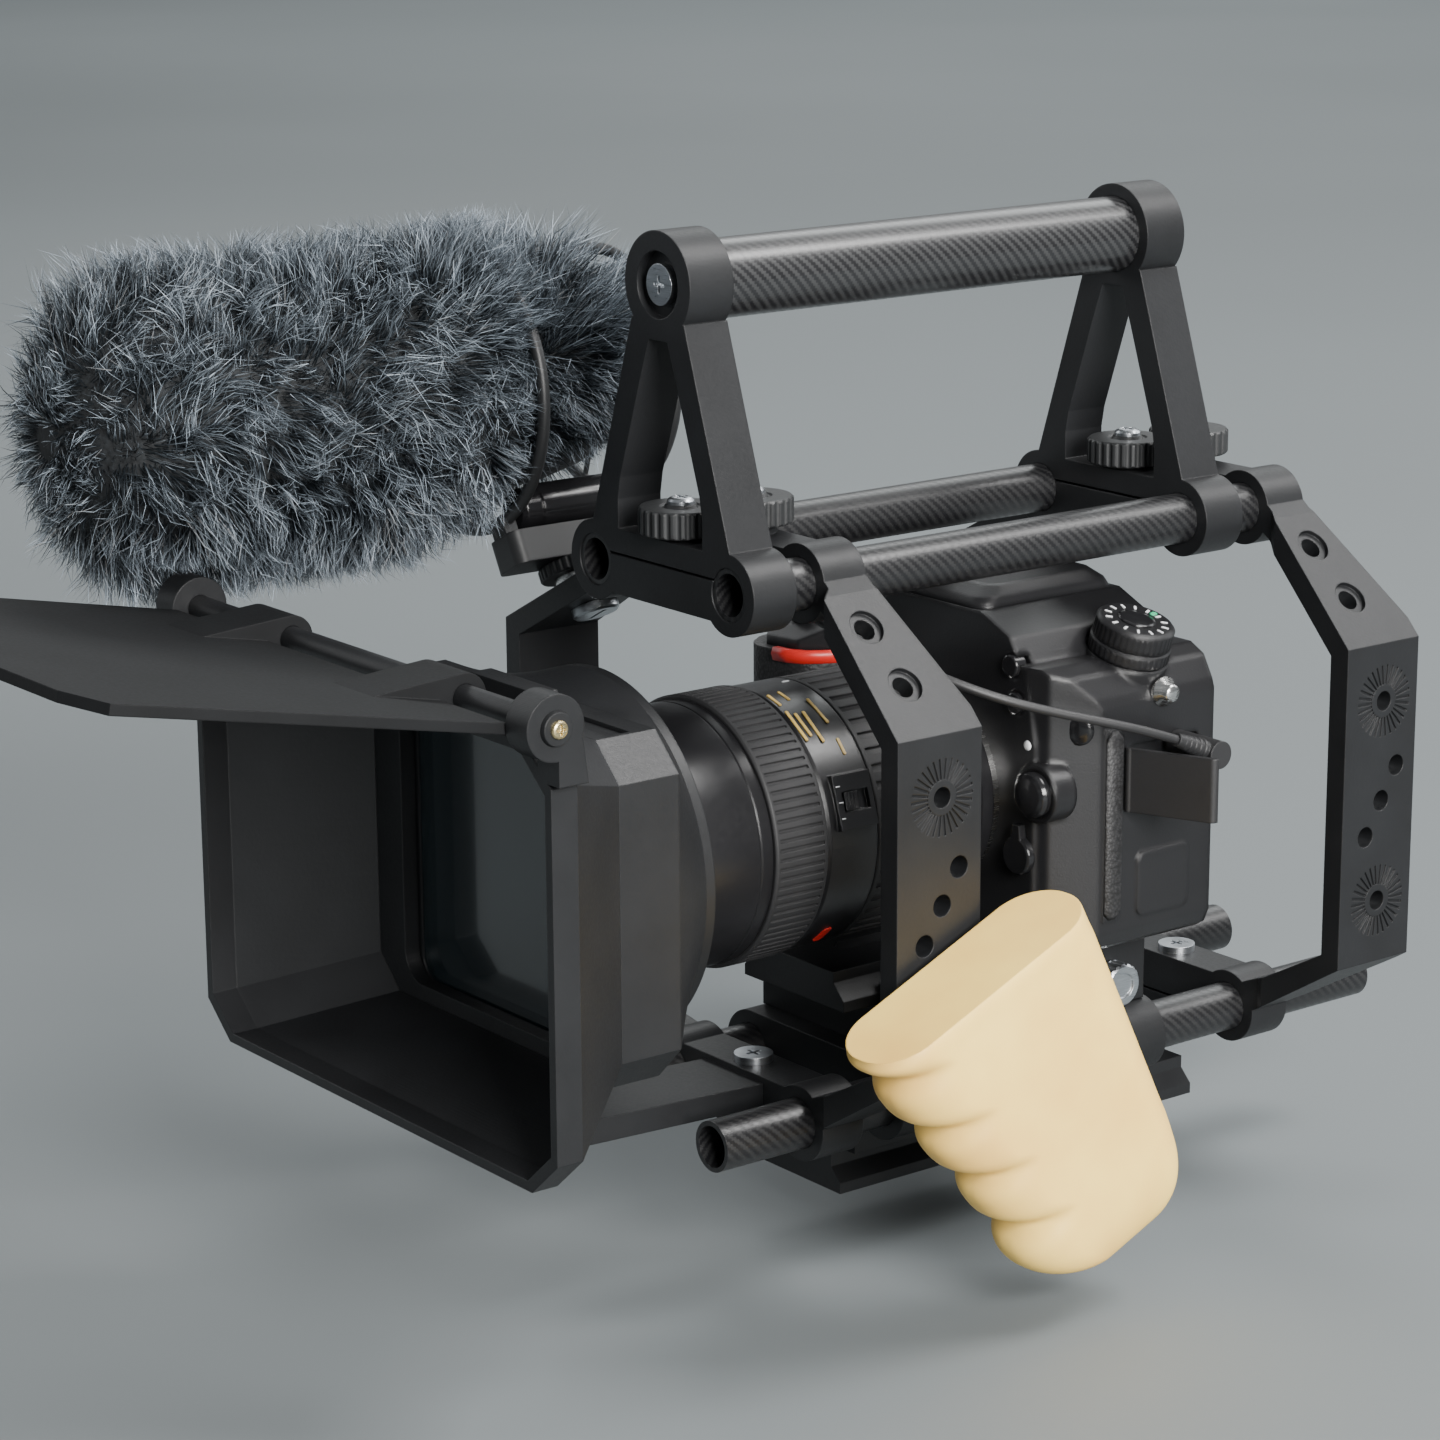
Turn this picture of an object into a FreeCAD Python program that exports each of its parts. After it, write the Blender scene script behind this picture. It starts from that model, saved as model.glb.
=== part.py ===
import FreeCAD, Part
import math
import os

import Sketcher
from FreeCAD import Placement, Rotation, Vector

# Cinema camera rig: 16 mm rods, printed cage, matte box, zoom lens, camera body,
# shotgun microphone with a fur windscreen, and a side grip.  Millimetres.
# The lens looks along -Y, +X is the side with the ports, +Z is up.  The origin is
# the tripod thread in the underside of the dovetail plate.  Each body is drawn in
# "rig" coordinates: Y from the front ends of the upper rods, Z from their axes.

os.makedirs("parts", exist_ok=True)
doc = FreeCAD.newDocument("CameraRig")
sheet = doc.addObject("Spreadsheet::Sheet", "Sizes")

SIZES = {
    "rig_y": -128.0,
    "rig_z": 202.5,
    "rod_r": 8.0,
    "rod_bore_r": 6.5,
    "rod_hole_r": 8.05,
    "upper_rod_x": 33.3,
    "upper_rod_len": 225.0,
    "lower_rod_x": 32.65,
    "lower_rod_z": -169.4,
    "lower_rod_y": -7.4,
    "lower_rod_len": 275.0,
    "handle_z": 87.5,
    "handle_r": 12.0,
    "handle_bore_r": 10.4,
    "handle_y": 4.0,
    "handle_len": 188.5,
    "frame_depth": 16.0,
    "handle_frame_front_y": -0.5,
    "handle_frame_rear_y": 197.0,
    "cup_r": 16.0,
    "ring_r": 12.4,
    "cage_ring_r": 12.1,
    "bar_top": 9.4,
    "bar_bottom": -9.0,
    "slit_z": 3.5,
    "slit_width": 0.8,
    "front_cage_y": 26.0,
    "rear_cage_y": 208.5,
    "plate_width": 32.0,
    "plate_thick": 7.5,
    "plate_right_x": 84.0,
    "plate_left_x": -115.7,
    "rosette_r": 11.8,
    "rosette_inner_r": 5.4,
    "rosette_teeth": 30.0,
    "rosette_hole_r": 3.2,
    "plate_hole_r": 3.4,
    "arm_hole_r": 3.4,
    "knob_r": 13.0,
    "knob_flutes": 26.0,
    "stud_r": 2.5,
    "stud_hole_r": 2.6,
    "lens_z": -81.1,
    "front_barrel_r": 41.0,
    "focus_r": 42.4,
    "focus_ribs": 90.0,
    "zoom_r": 41.6,
    "zoom_ribs": 48.0,
    "sleeve_r": 35.95,
    "ring_bore_r": 36.0,
    "hood_y": -106.6,
    "hood_half_w": 94.0,
    "hood_half_h": 64.4,
    "stage_half_w": 64.8,
    "stage_half_h": 52.0,
    "hood_wall": 3.0,
    "flag_y": -107.5,
    "flag_z": -9.7,
    "flag_tilt": 11.5,
    "flag_rod_r": 3.8,
    "flag_half_w": 87.5,
    "flag_len": 134.0,
    "flag_thick": 3.1,
    "camera_floor": -129.0,
    "camera_side": 60.0,
    "camera_grip_side": -81.0,
    "camera_rear": 172.0,
    "mic_tilt": -27.9,
    "mic_axis": 70.0,
    "windscreen_r": 42.0,
    "hoop_wire_r": 2.0,
    "cable_r": 1.5,
    "grip_tilt": 24.0,
    "grip_half_t": 16.0,
}

next_row = [1]


def keep(alias, value):
    """Write one size to the sheet under its alias and return the alias."""
    row = next_row[0]
    next_row[0] = row + 1
    sheet.set("A%d" % row, alias)
    sheet.set("B%d" % row, "%.6f" % value)
    sheet.setAlias("B%d" % row, alias)
    return alias


for size_name, size_value in SIZES.items():
    keep(size_name, size_value)


def val(name):
    return SIZES[name]


def bind(obj, prop, value, hint):
    """Tie a property to the sheet: a named size, or a number kept under hint."""
    if isinstance(value, str):
        alias = value
    else:
        alias = keep(hint, value)
        SIZES[hint] = value
    obj.setExpression(prop, "Sizes." + alias)


def number(value):
    return val(value) if isinstance(value, str) else value


def make_body(label, at=(0.0, 0.0, 0.0), turn=None):
    """A PartDesign body placed in rig coordinates."""
    body = doc.addObject("PartDesign::Body", label)
    body.Label = label
    spot = Vector(at[0], at[1] + val("rig_y"), at[2] + val("rig_z"))
    body.Placement = Placement(spot, turn or Rotation())
    return body


def origin_part(body, role):
    for item in body.Origin.OriginFeatures:
        if item.Role == role:
            return item
    raise RuntimeError(role)


PLANES = {"x": "YZ_Plane", "y": "XZ_Plane", "z": "XY_Plane"}
AXES = {"x": "X_Axis", "y": "Y_Axis", "z": "Z_Axis"}


def make_sketch(body, name, axis, station, origin=(0.0, 0.0)):
    """A sketch square to an axis, at a station along it, with its own 2-D origin."""
    sketch = body.newObject("Sketcher::SketchObject", name)
    sketch.AttachmentSupport = [(origin_part(body, PLANES[axis]), "")]
    sketch.MapMode = "FlatFace"
    lift = -station if axis == "y" else station
    sketch.AttachmentOffset = Placement(Vector(origin[0], origin[1], lift), Rotation())
    return sketch


def pin_point(sketch, rules, geo, end, spot, tag):
    """Hold one point of the sketch at a spot kept in the sheet."""
    for kind, along, axis_line in (("DistanceX", spot[0], -2), ("DistanceY", spot[1], -1)):
        if abs(along) < 1e-6:
            sketch.addConstraint(Sketcher.Constraint("PointOnObject", geo, end, axis_line))
            continue
        index = sketch.addConstraint(Sketcher.Constraint(kind, -1, 1, geo, end, along))
        rules.append((index, along, "%s_%s" % (tag, kind[-1].lower())))


def close_rules(sketch, rules):
    for index, value, alias in rules:
        keep(alias, value)
        sketch.setExpression("Constraints[%d]" % index, "Sizes." + alias)


def draw_loop(sketch, tag, points):
    """A closed outline.  A point is (u, v), or (u, v, mid_u, mid_v) where the edge
    that reaches it is an arc through the middle point."""
    first = sketch.GeometryCount
    count = len(points)
    ends = []
    for k in range(count):
        here = points[k]
        after = points[(k + 1) % count]
        start = Vector(here[0], here[1], 0)
        stop = Vector(after[0], after[1], 0)
        if len(after) == 4:
            arc = Part.Arc(start, Vector(after[2], after[3], 0), stop)
            geo = sketch.addGeometry(arc, False)
            flipped = (sketch.Geometry[geo].StartPoint - start).Length > 1e-4
            ends.append((2, 1) if flipped else (1, 2))
        else:
            sketch.addGeometry(Part.LineSegment(start, stop), False)
            ends.append((1, 2))
    for k in range(count):
        after = (k + 1) % count
        sketch.addConstraint(
            Sketcher.Constraint("Coincident", first + k, ends[k][1], first + after, ends[after][0])
        )
    rules = []
    for k in range(count):
        pin_point(sketch, rules, first + k, ends[k][0], points[k], "%s_%d" % (tag, k))
        after = points[(k + 1) % count]
        if len(after) == 4:
            radius = sketch.Geometry[first + k].Radius
            index = sketch.addConstraint(Sketcher.Constraint("Radius", first + k, radius))
            rules.append((index, radius, "%s_%d_r" % (tag, k)))
    close_rules(sketch, rules)


def draw_circle(sketch, tag, centre, radius):
    circle = Part.Circle(Vector(centre[0], centre[1], 0), Vector(0, 0, 1), number(radius))
    geo = sketch.addGeometry(circle, False)
    rules = []
    pin_point(sketch, rules, geo, 3, centre, tag)
    close_rules(sketch, rules)
    index = sketch.addConstraint(Sketcher.Constraint("Radius", geo, number(radius)))
    bind(sketch, "Constraints[%d]" % index, radius, tag + "_r")


def draw(sketch, tag, shapes):
    for k, shape in enumerate(shapes):
        label = "%s_s%d" % (tag, k)
        if shape[0] == "circle":
            draw_circle(sketch, label, (shape[1], shape[2]), shape[3])
        else:
            draw_loop(sketch, label, shape[1])


def circle(u, v, radius):
    return ("circle", u, v, radius)


def outline(points):
    return ("loop", points)


def box(u_low, u_high, v_low, v_high):
    return ("loop", [(u_low, v_low), (u_high, v_low), (u_high, v_high), (u_low, v_high)])


def soft_box(half_u, half_v, corner, centre=(0.0, 0.0)):
    """A rectangle with rounded corners about a centre."""
    u, v = centre
    k = corner * (1.0 - math.sqrt(0.5))
    a, b = half_u, half_v
    return outline([
        (u - a + corner, v - b, u - a + k, v - b + k), (u + a - corner, v - b),
        (u + a, v - b + corner, u + a - k, v - b + k), (u + a, v + b - corner),
        (u + a - corner, v + b, u + a - k, v + b - k), (u - a + corner, v + b),
        (u - a, v + b - corner, u - a + k, v + b - k), (u - a, v - b + corner),
    ])


def solid(body, name, axis, low, high, *shapes, origin=(0.0, 0.0)):
    """Pad closed outlines between two stations on an axis."""
    tag = body.Label + "_" + name
    station = high if axis == "y" else low
    sketch = make_sketch(body, name + "Sketch", axis, station, origin)
    draw(sketch, tag, shapes)
    pad = body.newObject("PartDesign::Pad", name)
    pad.Profile = sketch
    bind(pad, "Length", high - low, tag + "_length")
    sketch.Visibility = False
    body.Tip = pad
    return pad


def cut(body, name, axis, low, high, *shapes, origin=(0.0, 0.0)):
    """Pocket closed outlines between two stations on an axis."""
    tag = body.Label + "_" + name
    station = low if axis == "y" else high
    sketch = make_sketch(body, name + "Sketch", axis, station, origin)
    draw(sketch, tag, shapes)
    pocket = body.newObject("PartDesign::Pocket", name)
    pocket.Profile = sketch
    bind(pocket, "Length", high - low, tag + "_length")
    sketch.Visibility = False
    body.Tip = pocket
    return pocket


def spin(body, name, axis, points, groove=False):
    """Revolve an outline of (along, radius) points about one of the body's axes."""
    tag = body.Label + "_" + name
    plane = {"y": "z", "z": "y", "x": "z"}[axis]
    sketch = make_sketch(body, name + "Sketch", plane, 0.0)
    turned = []
    for point in points:
        pairs = [(point[k], point[k + 1]) for k in range(0, len(point), 2)]
        flat = []
        for along, radius in pairs:
            flat.extend((along, radius) if axis == "x" else (radius, along))
        turned.append(tuple(flat))
    draw_loop(sketch, tag, turned)
    kind = "PartDesign::Groove" if groove else "PartDesign::Revolution"
    turn = body.newObject(kind, name)
    turn.Profile = sketch
    turn.ReferenceAxis = (origin_part(body, AXES[axis]), [""])
    turn.Angle = 360.0
    sketch.Visibility = False
    body.Tip = turn
    return turn


def ring_wire(body, name, station, radius, wire_r):
    """A round wire ring about the body's Y axis."""
    tag = body.Label + "_" + name
    sketch = make_sketch(body, name + "Sketch", "z", 0.0)
    draw_circle(sketch, tag, (radius, station), wire_r)
    turn = body.newObject("PartDesign::Revolution", name)
    turn.Profile = sketch
    turn.ReferenceAxis = (origin_part(body, "Y_Axis"), [""])
    turn.Angle = 360.0
    sketch.Visibility = False
    body.Tip = turn
    return turn


def blend(body, name, axis, stations, groove=False, ruled=True):
    """Loft between closed outlines at stations along an axis."""
    tag = body.Label + "_" + name
    sketches = []
    for k, (station, shape) in enumerate(stations):
        sketch = make_sketch(body, "%sSketch%d" % (name, k), axis, station)
        draw(sketch, "%s_%d" % (tag, k), [shape])
        sketch.Visibility = False
        sketches.append(sketch)
    kind = "PartDesign::SubtractiveLoft" if groove else "PartDesign::AdditiveLoft"
    loft = body.newObject(kind, name)
    loft.Profile = sketches[0]
    loft.Sections = sketches[1:]
    loft.Ruled = ruled
    loft.Closed = False
    body.Tip = loft
    return loft


def repeat_round(body, name, feature, count, axis):
    """Repeat a feature evenly about an axis, all the way round."""
    pattern = body.newObject("PartDesign::PolarPattern", name)
    pattern.Originals = [feature]
    pattern.Axis = axis
    pattern.Angle = 360.0
    bind(pattern, "Occurrences", count, body.Label + "_" + name + "_count")
    body.Tip = pattern
    return pattern


def drill(body, name, at, direction, radius, length):
    """Remove a cylinder that starts at a point and runs along a direction."""
    tool = body.newObject("PartDesign::SubtractiveCylinder", name)
    bind(tool, "Radius", radius, body.Label + "_" + name + "_r")
    bind(tool, "Height", length, body.Label + "_" + name + "_len")
    tool.Placement = Placement(Vector(*at), Rotation(Vector(0, 0, 1), Vector(*direction)))
    body.Tip = tool
    return tool


def peg(body, name, at, direction, radius, length):
    """Add a cylinder that starts at a point and runs along a direction."""
    tool = body.newObject("PartDesign::AdditiveCylinder", name)
    bind(tool, "Radius", radius, body.Label + "_" + name + "_r")
    bind(tool, "Height", length, body.Label + "_" + name + "_len")
    tool.Placement = Placement(Vector(*at), Rotation(Vector(0, 0, 1), Vector(*direction)))
    body.Tip = tool
    return tool


def soften(body, name, radius, test):
    """Round every edge of the tip that passes a test."""
    doc.recompute()
    base = body.Tip
    names = ["Edge%d" % (k + 1) for k, edge in enumerate(base.Shape.Edges) if test(edge)]
    if not names:
        raise RuntimeError("no edge for " + body.Label + " " + name)
    feature = body.newObject("PartDesign::Fillet", name)
    feature.Base = (base, names)
    bind(feature, "Radius", radius, body.Label + "_" + name + "_r")
    body.Tip = feature
    return feature


def middle(edge):
    return edge.BoundBox.Center


# ---------------------------------------------------------------- rods and handle

for side, sign in (("left", -1.0), ("right", 1.0)):
    rod = make_body("upper_rod_" + side, (sign * val("upper_rod_x"), 0.0, 0.0))
    solid(rod, "Tube", "y", 0.0, val("upper_rod_len"), circle(0, 0, "rod_r"), circle(0, 0, "rod_bore_r"))
    rod = make_body(
        "lower_rod_" + side,
        (sign * val("lower_rod_x"), val("lower_rod_y"), val("lower_rod_z")),
    )
    solid(rod, "Tube", "y", 0.0, val("lower_rod_len"), circle(0, 0, "rod_r"), circle(0, 0, "rod_bore_r"))

end_plug_len = 15.0
handle = make_body("handle_tube", (0.0, val("handle_y"), val("handle_z")))
solid(handle, "Tube", "y", 0.0, val("handle_len"), circle(0, 0, "handle_r"))
cut(handle, "Hollow", "y", end_plug_len, val("handle_len") - end_plug_len, circle(0, 0, "handle_bore_r"))
cut(handle, "ScrewBore", "y", 0.0, val("handle_len"), circle(0, 0, 2.55))


def handle_frame(label, y, turn):
    """A-shaped end frame: cup for the handle tube, two legs and a rod clamp."""
    depth = val("frame_depth")
    top = val("handle_z")
    rod_x = val("upper_rod_x")
    frame = make_body(label, (0.0, y, 0.0), turn)
    solid(frame, "Legs", "y", 0.0, depth, outline([
        (-12.8, 77.0), (12.8, 77.0), (34.2, 12.0), (36.0, -2.0),
        (rod_x, val("bar_bottom")), (-rod_x, val("bar_bottom")), (-36.0, -2.0), (-34.2, 12.0),
    ]))
    solid(frame, "Cup", "y", 0.0, depth, circle(0, top, "cup_r"))
    solid(frame, "Rings", "y", 0.0, depth, circle(-rod_x, 0, "ring_r"), circle(rod_x, 0, "ring_r"))
    solid(frame, "Boss", "z", val("bar_top") - 1.0, 11.3, circle(0, depth / 2, 7.8))
    cut(frame, "Window", "y", 0.0, depth, outline([
        (-4.5, 71.0), (4.5, 71.0), (9.1, 58.5), (19.8, 27.2), (21.0, 20.5), (21.0, 11.3),
        (-21.0, 11.3), (-21.0, 20.5), (-19.8, 27.2), (-9.1, 58.5),
    ]))
    cut(frame, "RodHoles", "y", 0.0, depth, circle(-rod_x, 0, "rod_hole_r"), circle(rod_x, 0, "rod_hole_r"))
    cut(frame, "Recess", "y", 0.0, 3.0, circle(0, top, 10.0))
    cut(frame, "Socket", "y", 4.5, depth, circle(0, top, val("handle_r") + 0.05))
    cut(frame, "ScrewHole", "y", 3.0, 4.5, circle(0, top, "stud_hole_r"))
    half_slit = val("slit_width") / 2
    cut(frame, "Slit", "y", 0.0, depth, box(-27.0, 27.0, val("slit_z") - half_slit, val("slit_z") + half_slit))
    cut(frame, "StudHole", "z", val("bar_bottom"), 11.3, circle(0, depth / 2, "stud_hole_r"))
    return frame


def half_turn():
    return Rotation(Vector(0, 0, 1), 180)


handle_frame("front_handle_frame", val("handle_frame_front_y"), None)
handle_frame("rear_handle_frame", val("handle_frame_rear_y"), half_turn())


def thumb_knob(label, y):
    """Fluted thumb knob with its threaded stud, which squeezes a slit clamp."""
    knob = make_body(label, (0.0, y, 0.0))
    spin(knob, "Turned", "z", [
        (-6.0, 0.0), (-6.0, val("stud_r")), (11.5, val("stud_r")), (11.5, 8.5), (12.6, 9.0),
        (12.6, val("knob_r") - 0.6), (13.2, val("knob_r")), (20.0, val("knob_r")),
        (20.7, val("knob_r") - 0.7), (20.7, 6.4), (20.2, 6.0), (20.2, 5.2), (21.4, 4.6), (21.4, 0.0),
    ])
    flute = cut(knob, "Flute", "z", 12.6, 20.7, circle(val("knob_r") + 0.55, 0, 1.15))
    repeat_round(knob, "Flutes", flute, "knob_flutes", (origin_part(knob, "Z_Axis"), [""]))
    return knob


KNOBS = {
    "front_handle_knob": val("handle_frame_front_y") + 8.0,
    "front_cage_knob": val("front_cage_y") + 8.0,
    "rear_handle_knob": val("handle_frame_rear_y") - 8.0,
    "rear_cage_knob": val("rear_cage_y") + 8.0,
}
for knob_label, knob_y in KNOBS.items():
    thumb_knob(knob_label, knob_y)


# ---------------------------------------------------------------- cage frames

RIGHT_SIDE = [
    (40.0, 6.5), (49.5, -1.0), (66.0, -18.7), (84.0, -38.0), (84.0, -144.0), (68.6, -153.6),
    (51.6, -164.2), (38.0, -172.0), (38.0, -160.0), (51.2, -154.5), (76.5, -140.5), (76.5, -41.1),
    (63.2, -26.8), (46.0, -8.4), (39.0, -4.0),
]
LEFT_SIDE = [
    (-40.0, 5.0), (-49.5, -1.0), (-115.7, -36.0), (-115.7, -141.0), (-51.6, -166.5),
    (-38.0, -172.0), (-38.0, -159.5), (-51.2, -157.5), (-108.2, -136.0), (-108.2, -40.5),
    (-46.0, -7.6), (-39.0, -4.0),
]
PLATE_HOLES = ((23.6, -79.2), (17.2, -90.0), (10.55, -101.2))
ROSETTES = (("Upper", -57.0), ("Lower", -123.4))


def cage_frame(label, ring_y, plate_shift):
    """One closed loop round the camera: rod clamps above and below, two side plates."""
    depth = val("frame_depth")
    plate_low = plate_shift
    plate_high = plate_shift + val("plate_width")
    up_x = val("upper_rod_x")
    low_x = val("lower_rod_x")
    low_z = val("lower_rod_z")
    frame = make_body(label, (0.0, ring_y, 0.0))
    solid(frame, "RightSide", "y", plate_low, plate_high, outline(RIGHT_SIDE))
    cut(
        frame, "RightNarrow", "z", -190.0, 20.0,
        outline([(30.0, depth), (48.0, depth), (79.0, plate_high), (79.0, 50.0), (30.0, 50.0)]),
        outline([(30.0, 0.0), (47.0, 0.0), (50.0, plate_low), (50.0, -10.0), (30.0, -10.0)]),
    )
    solid(frame, "UpperBar", "y", 0.0, depth, box(-up_x, up_x, val("bar_bottom"), val("bar_top")))
    solid(frame, "LowerBar", "y", 0.0, depth, box(-low_x, low_x + 6.0, -179.5, -159.5))
    solid(frame, "LeftSide", "y", plate_low, plate_high, outline(LEFT_SIDE))
    cut(
        frame, "LeftNarrow", "z", -190.0, 20.0,
        outline([(-30.0, depth), (-48.0, depth), (-110.0, plate_high), (-110.0, 50.0), (-30.0, 50.0)]),
        outline([(-30.0, 0.0), (-47.0, 0.0), (-50.0, plate_low), (-50.0, -10.0), (-30.0, -10.0)]),
    )
    solid(
        frame, "Rings", "y", 0.0, depth,
        circle(-up_x, 0, "cage_ring_r"), circle(up_x, 0, "cage_ring_r"),
        circle(-low_x, low_z, "cage_ring_r"), circle(low_x, low_z, "cage_ring_r"),
    )
    solid(frame, "Boss", "z", val("bar_top") - 1.0, 11.3, circle(0, depth / 2, 7.8))
    cut(
        frame, "RodHoles", "y", -1.0, depth + 1.0,
        circle(-up_x, 0, "rod_hole_r"), circle(up_x, 0, "rod_hole_r"),
        circle(-low_x, low_z, "rod_hole_r"), circle(low_x, low_z, "rod_hole_r"),
    )
    half_slit = val("slit_width") / 2
    cut(
        frame, "Slits", "y", 0.0, depth,
        box(-27.0, 27.0, val("slit_z") - half_slit, val("slit_z") + half_slit),
        box(-26.5, 26.5, -173.0 - half_slit, -173.0 + half_slit),
    )
    cut(frame, "StudHole", "z", -20.0, 11.3, circle(0, depth / 2, "stud_hole_r"))
    cut(frame, "ScrewHole", "z", -180.0, -159.0, circle(0, depth / 2, "stud_hole_r"))
    holes = [circle(plate_low + y, z, "plate_hole_r") for y, z in PLATE_HOLES]
    cut(frame, "PlateHoles", "x", -130.0, 100.0, *holes)
    rosette_y = plate_low + 16.9
    hubs = [circle(rosette_y, z, "rosette_hole_r") for tag, z in ROSETTES]
    cut(frame, "RosetteHoles", "x", -130.0, 100.0, *hubs)
    for side, face, step in (("Right", val("plate_right_x"), -1), ("Left", val("plate_left_x"), 1)):
        for tag, z in ROSETTES:
            low, high = sorted((face, face + step * 0.6))
            tooth = cut(
                frame, side + tag + "Tooth", "x", low - 0.5 * (step > 0), high + 0.5 * (step < 0),
                box(val("rosette_inner_r"), val("rosette_r"), -0.4, 0.4),
                origin=(rosette_y, z),
            )
            repeat_round(frame, side + tag + "Rosette", tooth, "rosette_teeth",
                         (tooth.Profile[0], ["N_Axis"]))
    right_way = (math.sin(math.radians(47.0)), 0.0, math.cos(math.radians(47.0)))
    left_way = (math.sin(math.radians(val("mic_tilt"))), 0.0, math.cos(math.radians(val("mic_tilt"))))
    for tag, x, y, z in (("Inner", 57.6, 7.0, -9.7), ("Outer", 71.7, 10.0, -24.8)):
        start = (x - 9.0 * right_way[0], y + plate_low + 3.0, z - 9.0 * right_way[2])
        drill(frame, "RightArm" + tag, start, right_way, "arm_hole_r", 14.0)
        sink = (x - 1.6 * right_way[0], y + plate_low + 3.0, z - 1.6 * right_way[2])
        drill(frame, "RightSink" + tag, sink, right_way, 5.6, 6.0)
    for tag, x in (("Inner", -67.0), ("Outer", -89.0)):
        z = -1.0 - (-x - 49.5) * 0.5287
        y = plate_low + (14.0 if tag == "Outer" else 12.0)
        start = (x - 10.0 * left_way[0], y, z - 10.0 * left_way[2])
        drill(frame, "LeftArm" + tag, start, left_way, "arm_hole_r", 16.0)
    return frame


cage_frame("front_cage_frame", val("front_cage_y"), -4.0)
cage_frame("rear_cage_frame", val("rear_cage_y"), -1.5)


def pan_screw(body, name, at, way, head_r, head_len, shank_len):
    """A pan head screw from the underside of its head, with a cross recess."""
    x, y, z = at
    peg(body, name + "Shank", at, tuple(-w for w in way), "stud_r", shank_len)
    peg(body, name + "Head", at, way, head_r, head_len)


SCREWS = (
    ((0.0, 2.5, val("handle_z")), (0.0, -1.0, 0.0)),
    ((0.0, 194.0, val("handle_z")), (0.0, 1.0, 0.0)),
    ((0.0, val("front_cage_y") + 8.0, -159.5), (0.0, 0.0, 1.0)),
    ((0.0, val("rear_cage_y") + 8.0, -159.5), (0.0, 0.0, 1.0)),
)
screws = make_body("frame_screws")
screws.AllowCompound = True
for k, (spot, way) in enumerate(SCREWS):
    pan_screw(screws, "Screw%d" % k, spot, way, 6.2, 2.4, 13.0)
for k, (spot, way) in enumerate(SCREWS):
    lift = Rotation(Vector(0, 0, 1), Vector(*way))
    for j, turn in enumerate((0.0, 90.0)):
        slot = screws.newObject("PartDesign::SubtractiveBox", "Cross%d%d" % (k, j))
        bind(slot, "Length", 5.2, "screw_slot%d%d_len" % (k, j))
        bind(slot, "Width", 1.1, "screw_slot%d%d_wide" % (k, j))
        bind(slot, "Height", 2.0, "screw_slot%d%d_deep" % (k, j))
        spun = lift.multiply(Rotation(Vector(0, 0, 1), turn))
        corner = spun.multVec(Vector(-2.6, -0.55, 1.0))
        slot.Placement = Placement(Vector(*spot) + corner, spun)
        screws.Tip = slot


# ---------------------------------------------------------------- base under the camera

base = make_body("rod_base")
low_x = val("lower_rod_x")
low_z = val("lower_rod_z")
solid(base, "Deck", "y", 58.0, 169.0, outline([
    (-low_x, -176.0), (-21.0, -176.0), (-21.0, -190.5), (21.0, -190.5), (21.0, -176.0),
    (low_x, -176.0), (low_x, -157.0), (-low_x, -157.0),
]))
solid(base, "Sleeves", "y", 58.0, 169.0, circle(-low_x, low_z, "ring_r"), circle(low_x, low_z, "ring_r"))
cut(
    base, "RodHoles", "y", 58.0, 169.0,
    circle(-low_x, low_z, "rod_hole_r"), circle(low_x, low_z, "rod_hole_r"),
)
cut(base, "Relief", "z", -178.0, -157.0, box(-16.0, 16.0, 76.0, 150.0))

riser = make_body("riser_block")
solid(riser, "Block", "y", 66.0, 167.0, outline([
    (-36.0, -157.0), (36.0, -157.0), (36.0, -137.0), (31.0, -131.0), (25.2, -131.0),
    (25.2, -141.0), (-25.2, -141.0), (-25.2, -131.0), (-31.0, -131.0), (-36.0, -137.0),
]))
drill(riser, "LockBore", (26.0, 152.0, -148.5), (1.0, 0.0, 0.0), 3.05, 10.0)

lock = make_body("plate_lock_knob", (36.0, 152.0, -148.5))
spin(lock, "Turned", "x", [
    (-8.0, 0.0), (-8.0, 3.0), (0.2, 3.0), (0.2, 6.6), (0.8, 7.2), (6.0, 7.2), (6.8, 6.4),
    (6.8, 4.2), (6.2, 3.8), (6.2, 0.0),
])
lock_flute = cut(lock, "Flute", "x", 0.8, 6.8, circle(7.6, 0.0, 0.8))
repeat_round(lock, "Flutes", lock_flute, 18.0, (origin_part(lock, "X_Axis"), [""]))

quick_plate = make_body("quick_release_plate")
solid(quick_plate, "Rail", "y", 50.0, 165.0, outline([
    (-25.0, -141.0), (25.0, -141.0), (25.0, -137.5), (20.0, -132.5), (20.0, -129.0),
    (-20.0, -129.0), (-20.0, -132.5), (-25.0, -137.5),
]))
cut(quick_plate, "Slot", "z", -141.0, -129.0, outline([
    (-3.4, 70.0), (0.0, 66.6), (3.4, 70.0), (3.4, 104.0), (0.0, 107.4), (-3.4, 104.0),
]))

dovetail = make_body("dovetail_plate")
solid(dovetail, "Rail", "y", 52.0, 204.0, outline([
    (-21.0, -202.5), (21.0, -202.5), (21.0, -199.0), (16.5, -194.5), (16.5, -190.5),
    (-16.5, -190.5), (-16.5, -194.5), (-21.0, -199.0),
]))
cut(dovetail, "Thread", "z", -202.5, -192.5, circle(0.0, 128.0, 3.175))
cut(dovetail, "EndStops", "z", -202.5, -200.5, circle(0.0, 62.0, 2.5), circle(0.0, 194.0, 2.5))


# ---------------------------------------------------------------- matte box and flag

def matte_body(label):
    return make_body(label, (0.0, 0.0, val("lens_z")))


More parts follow.
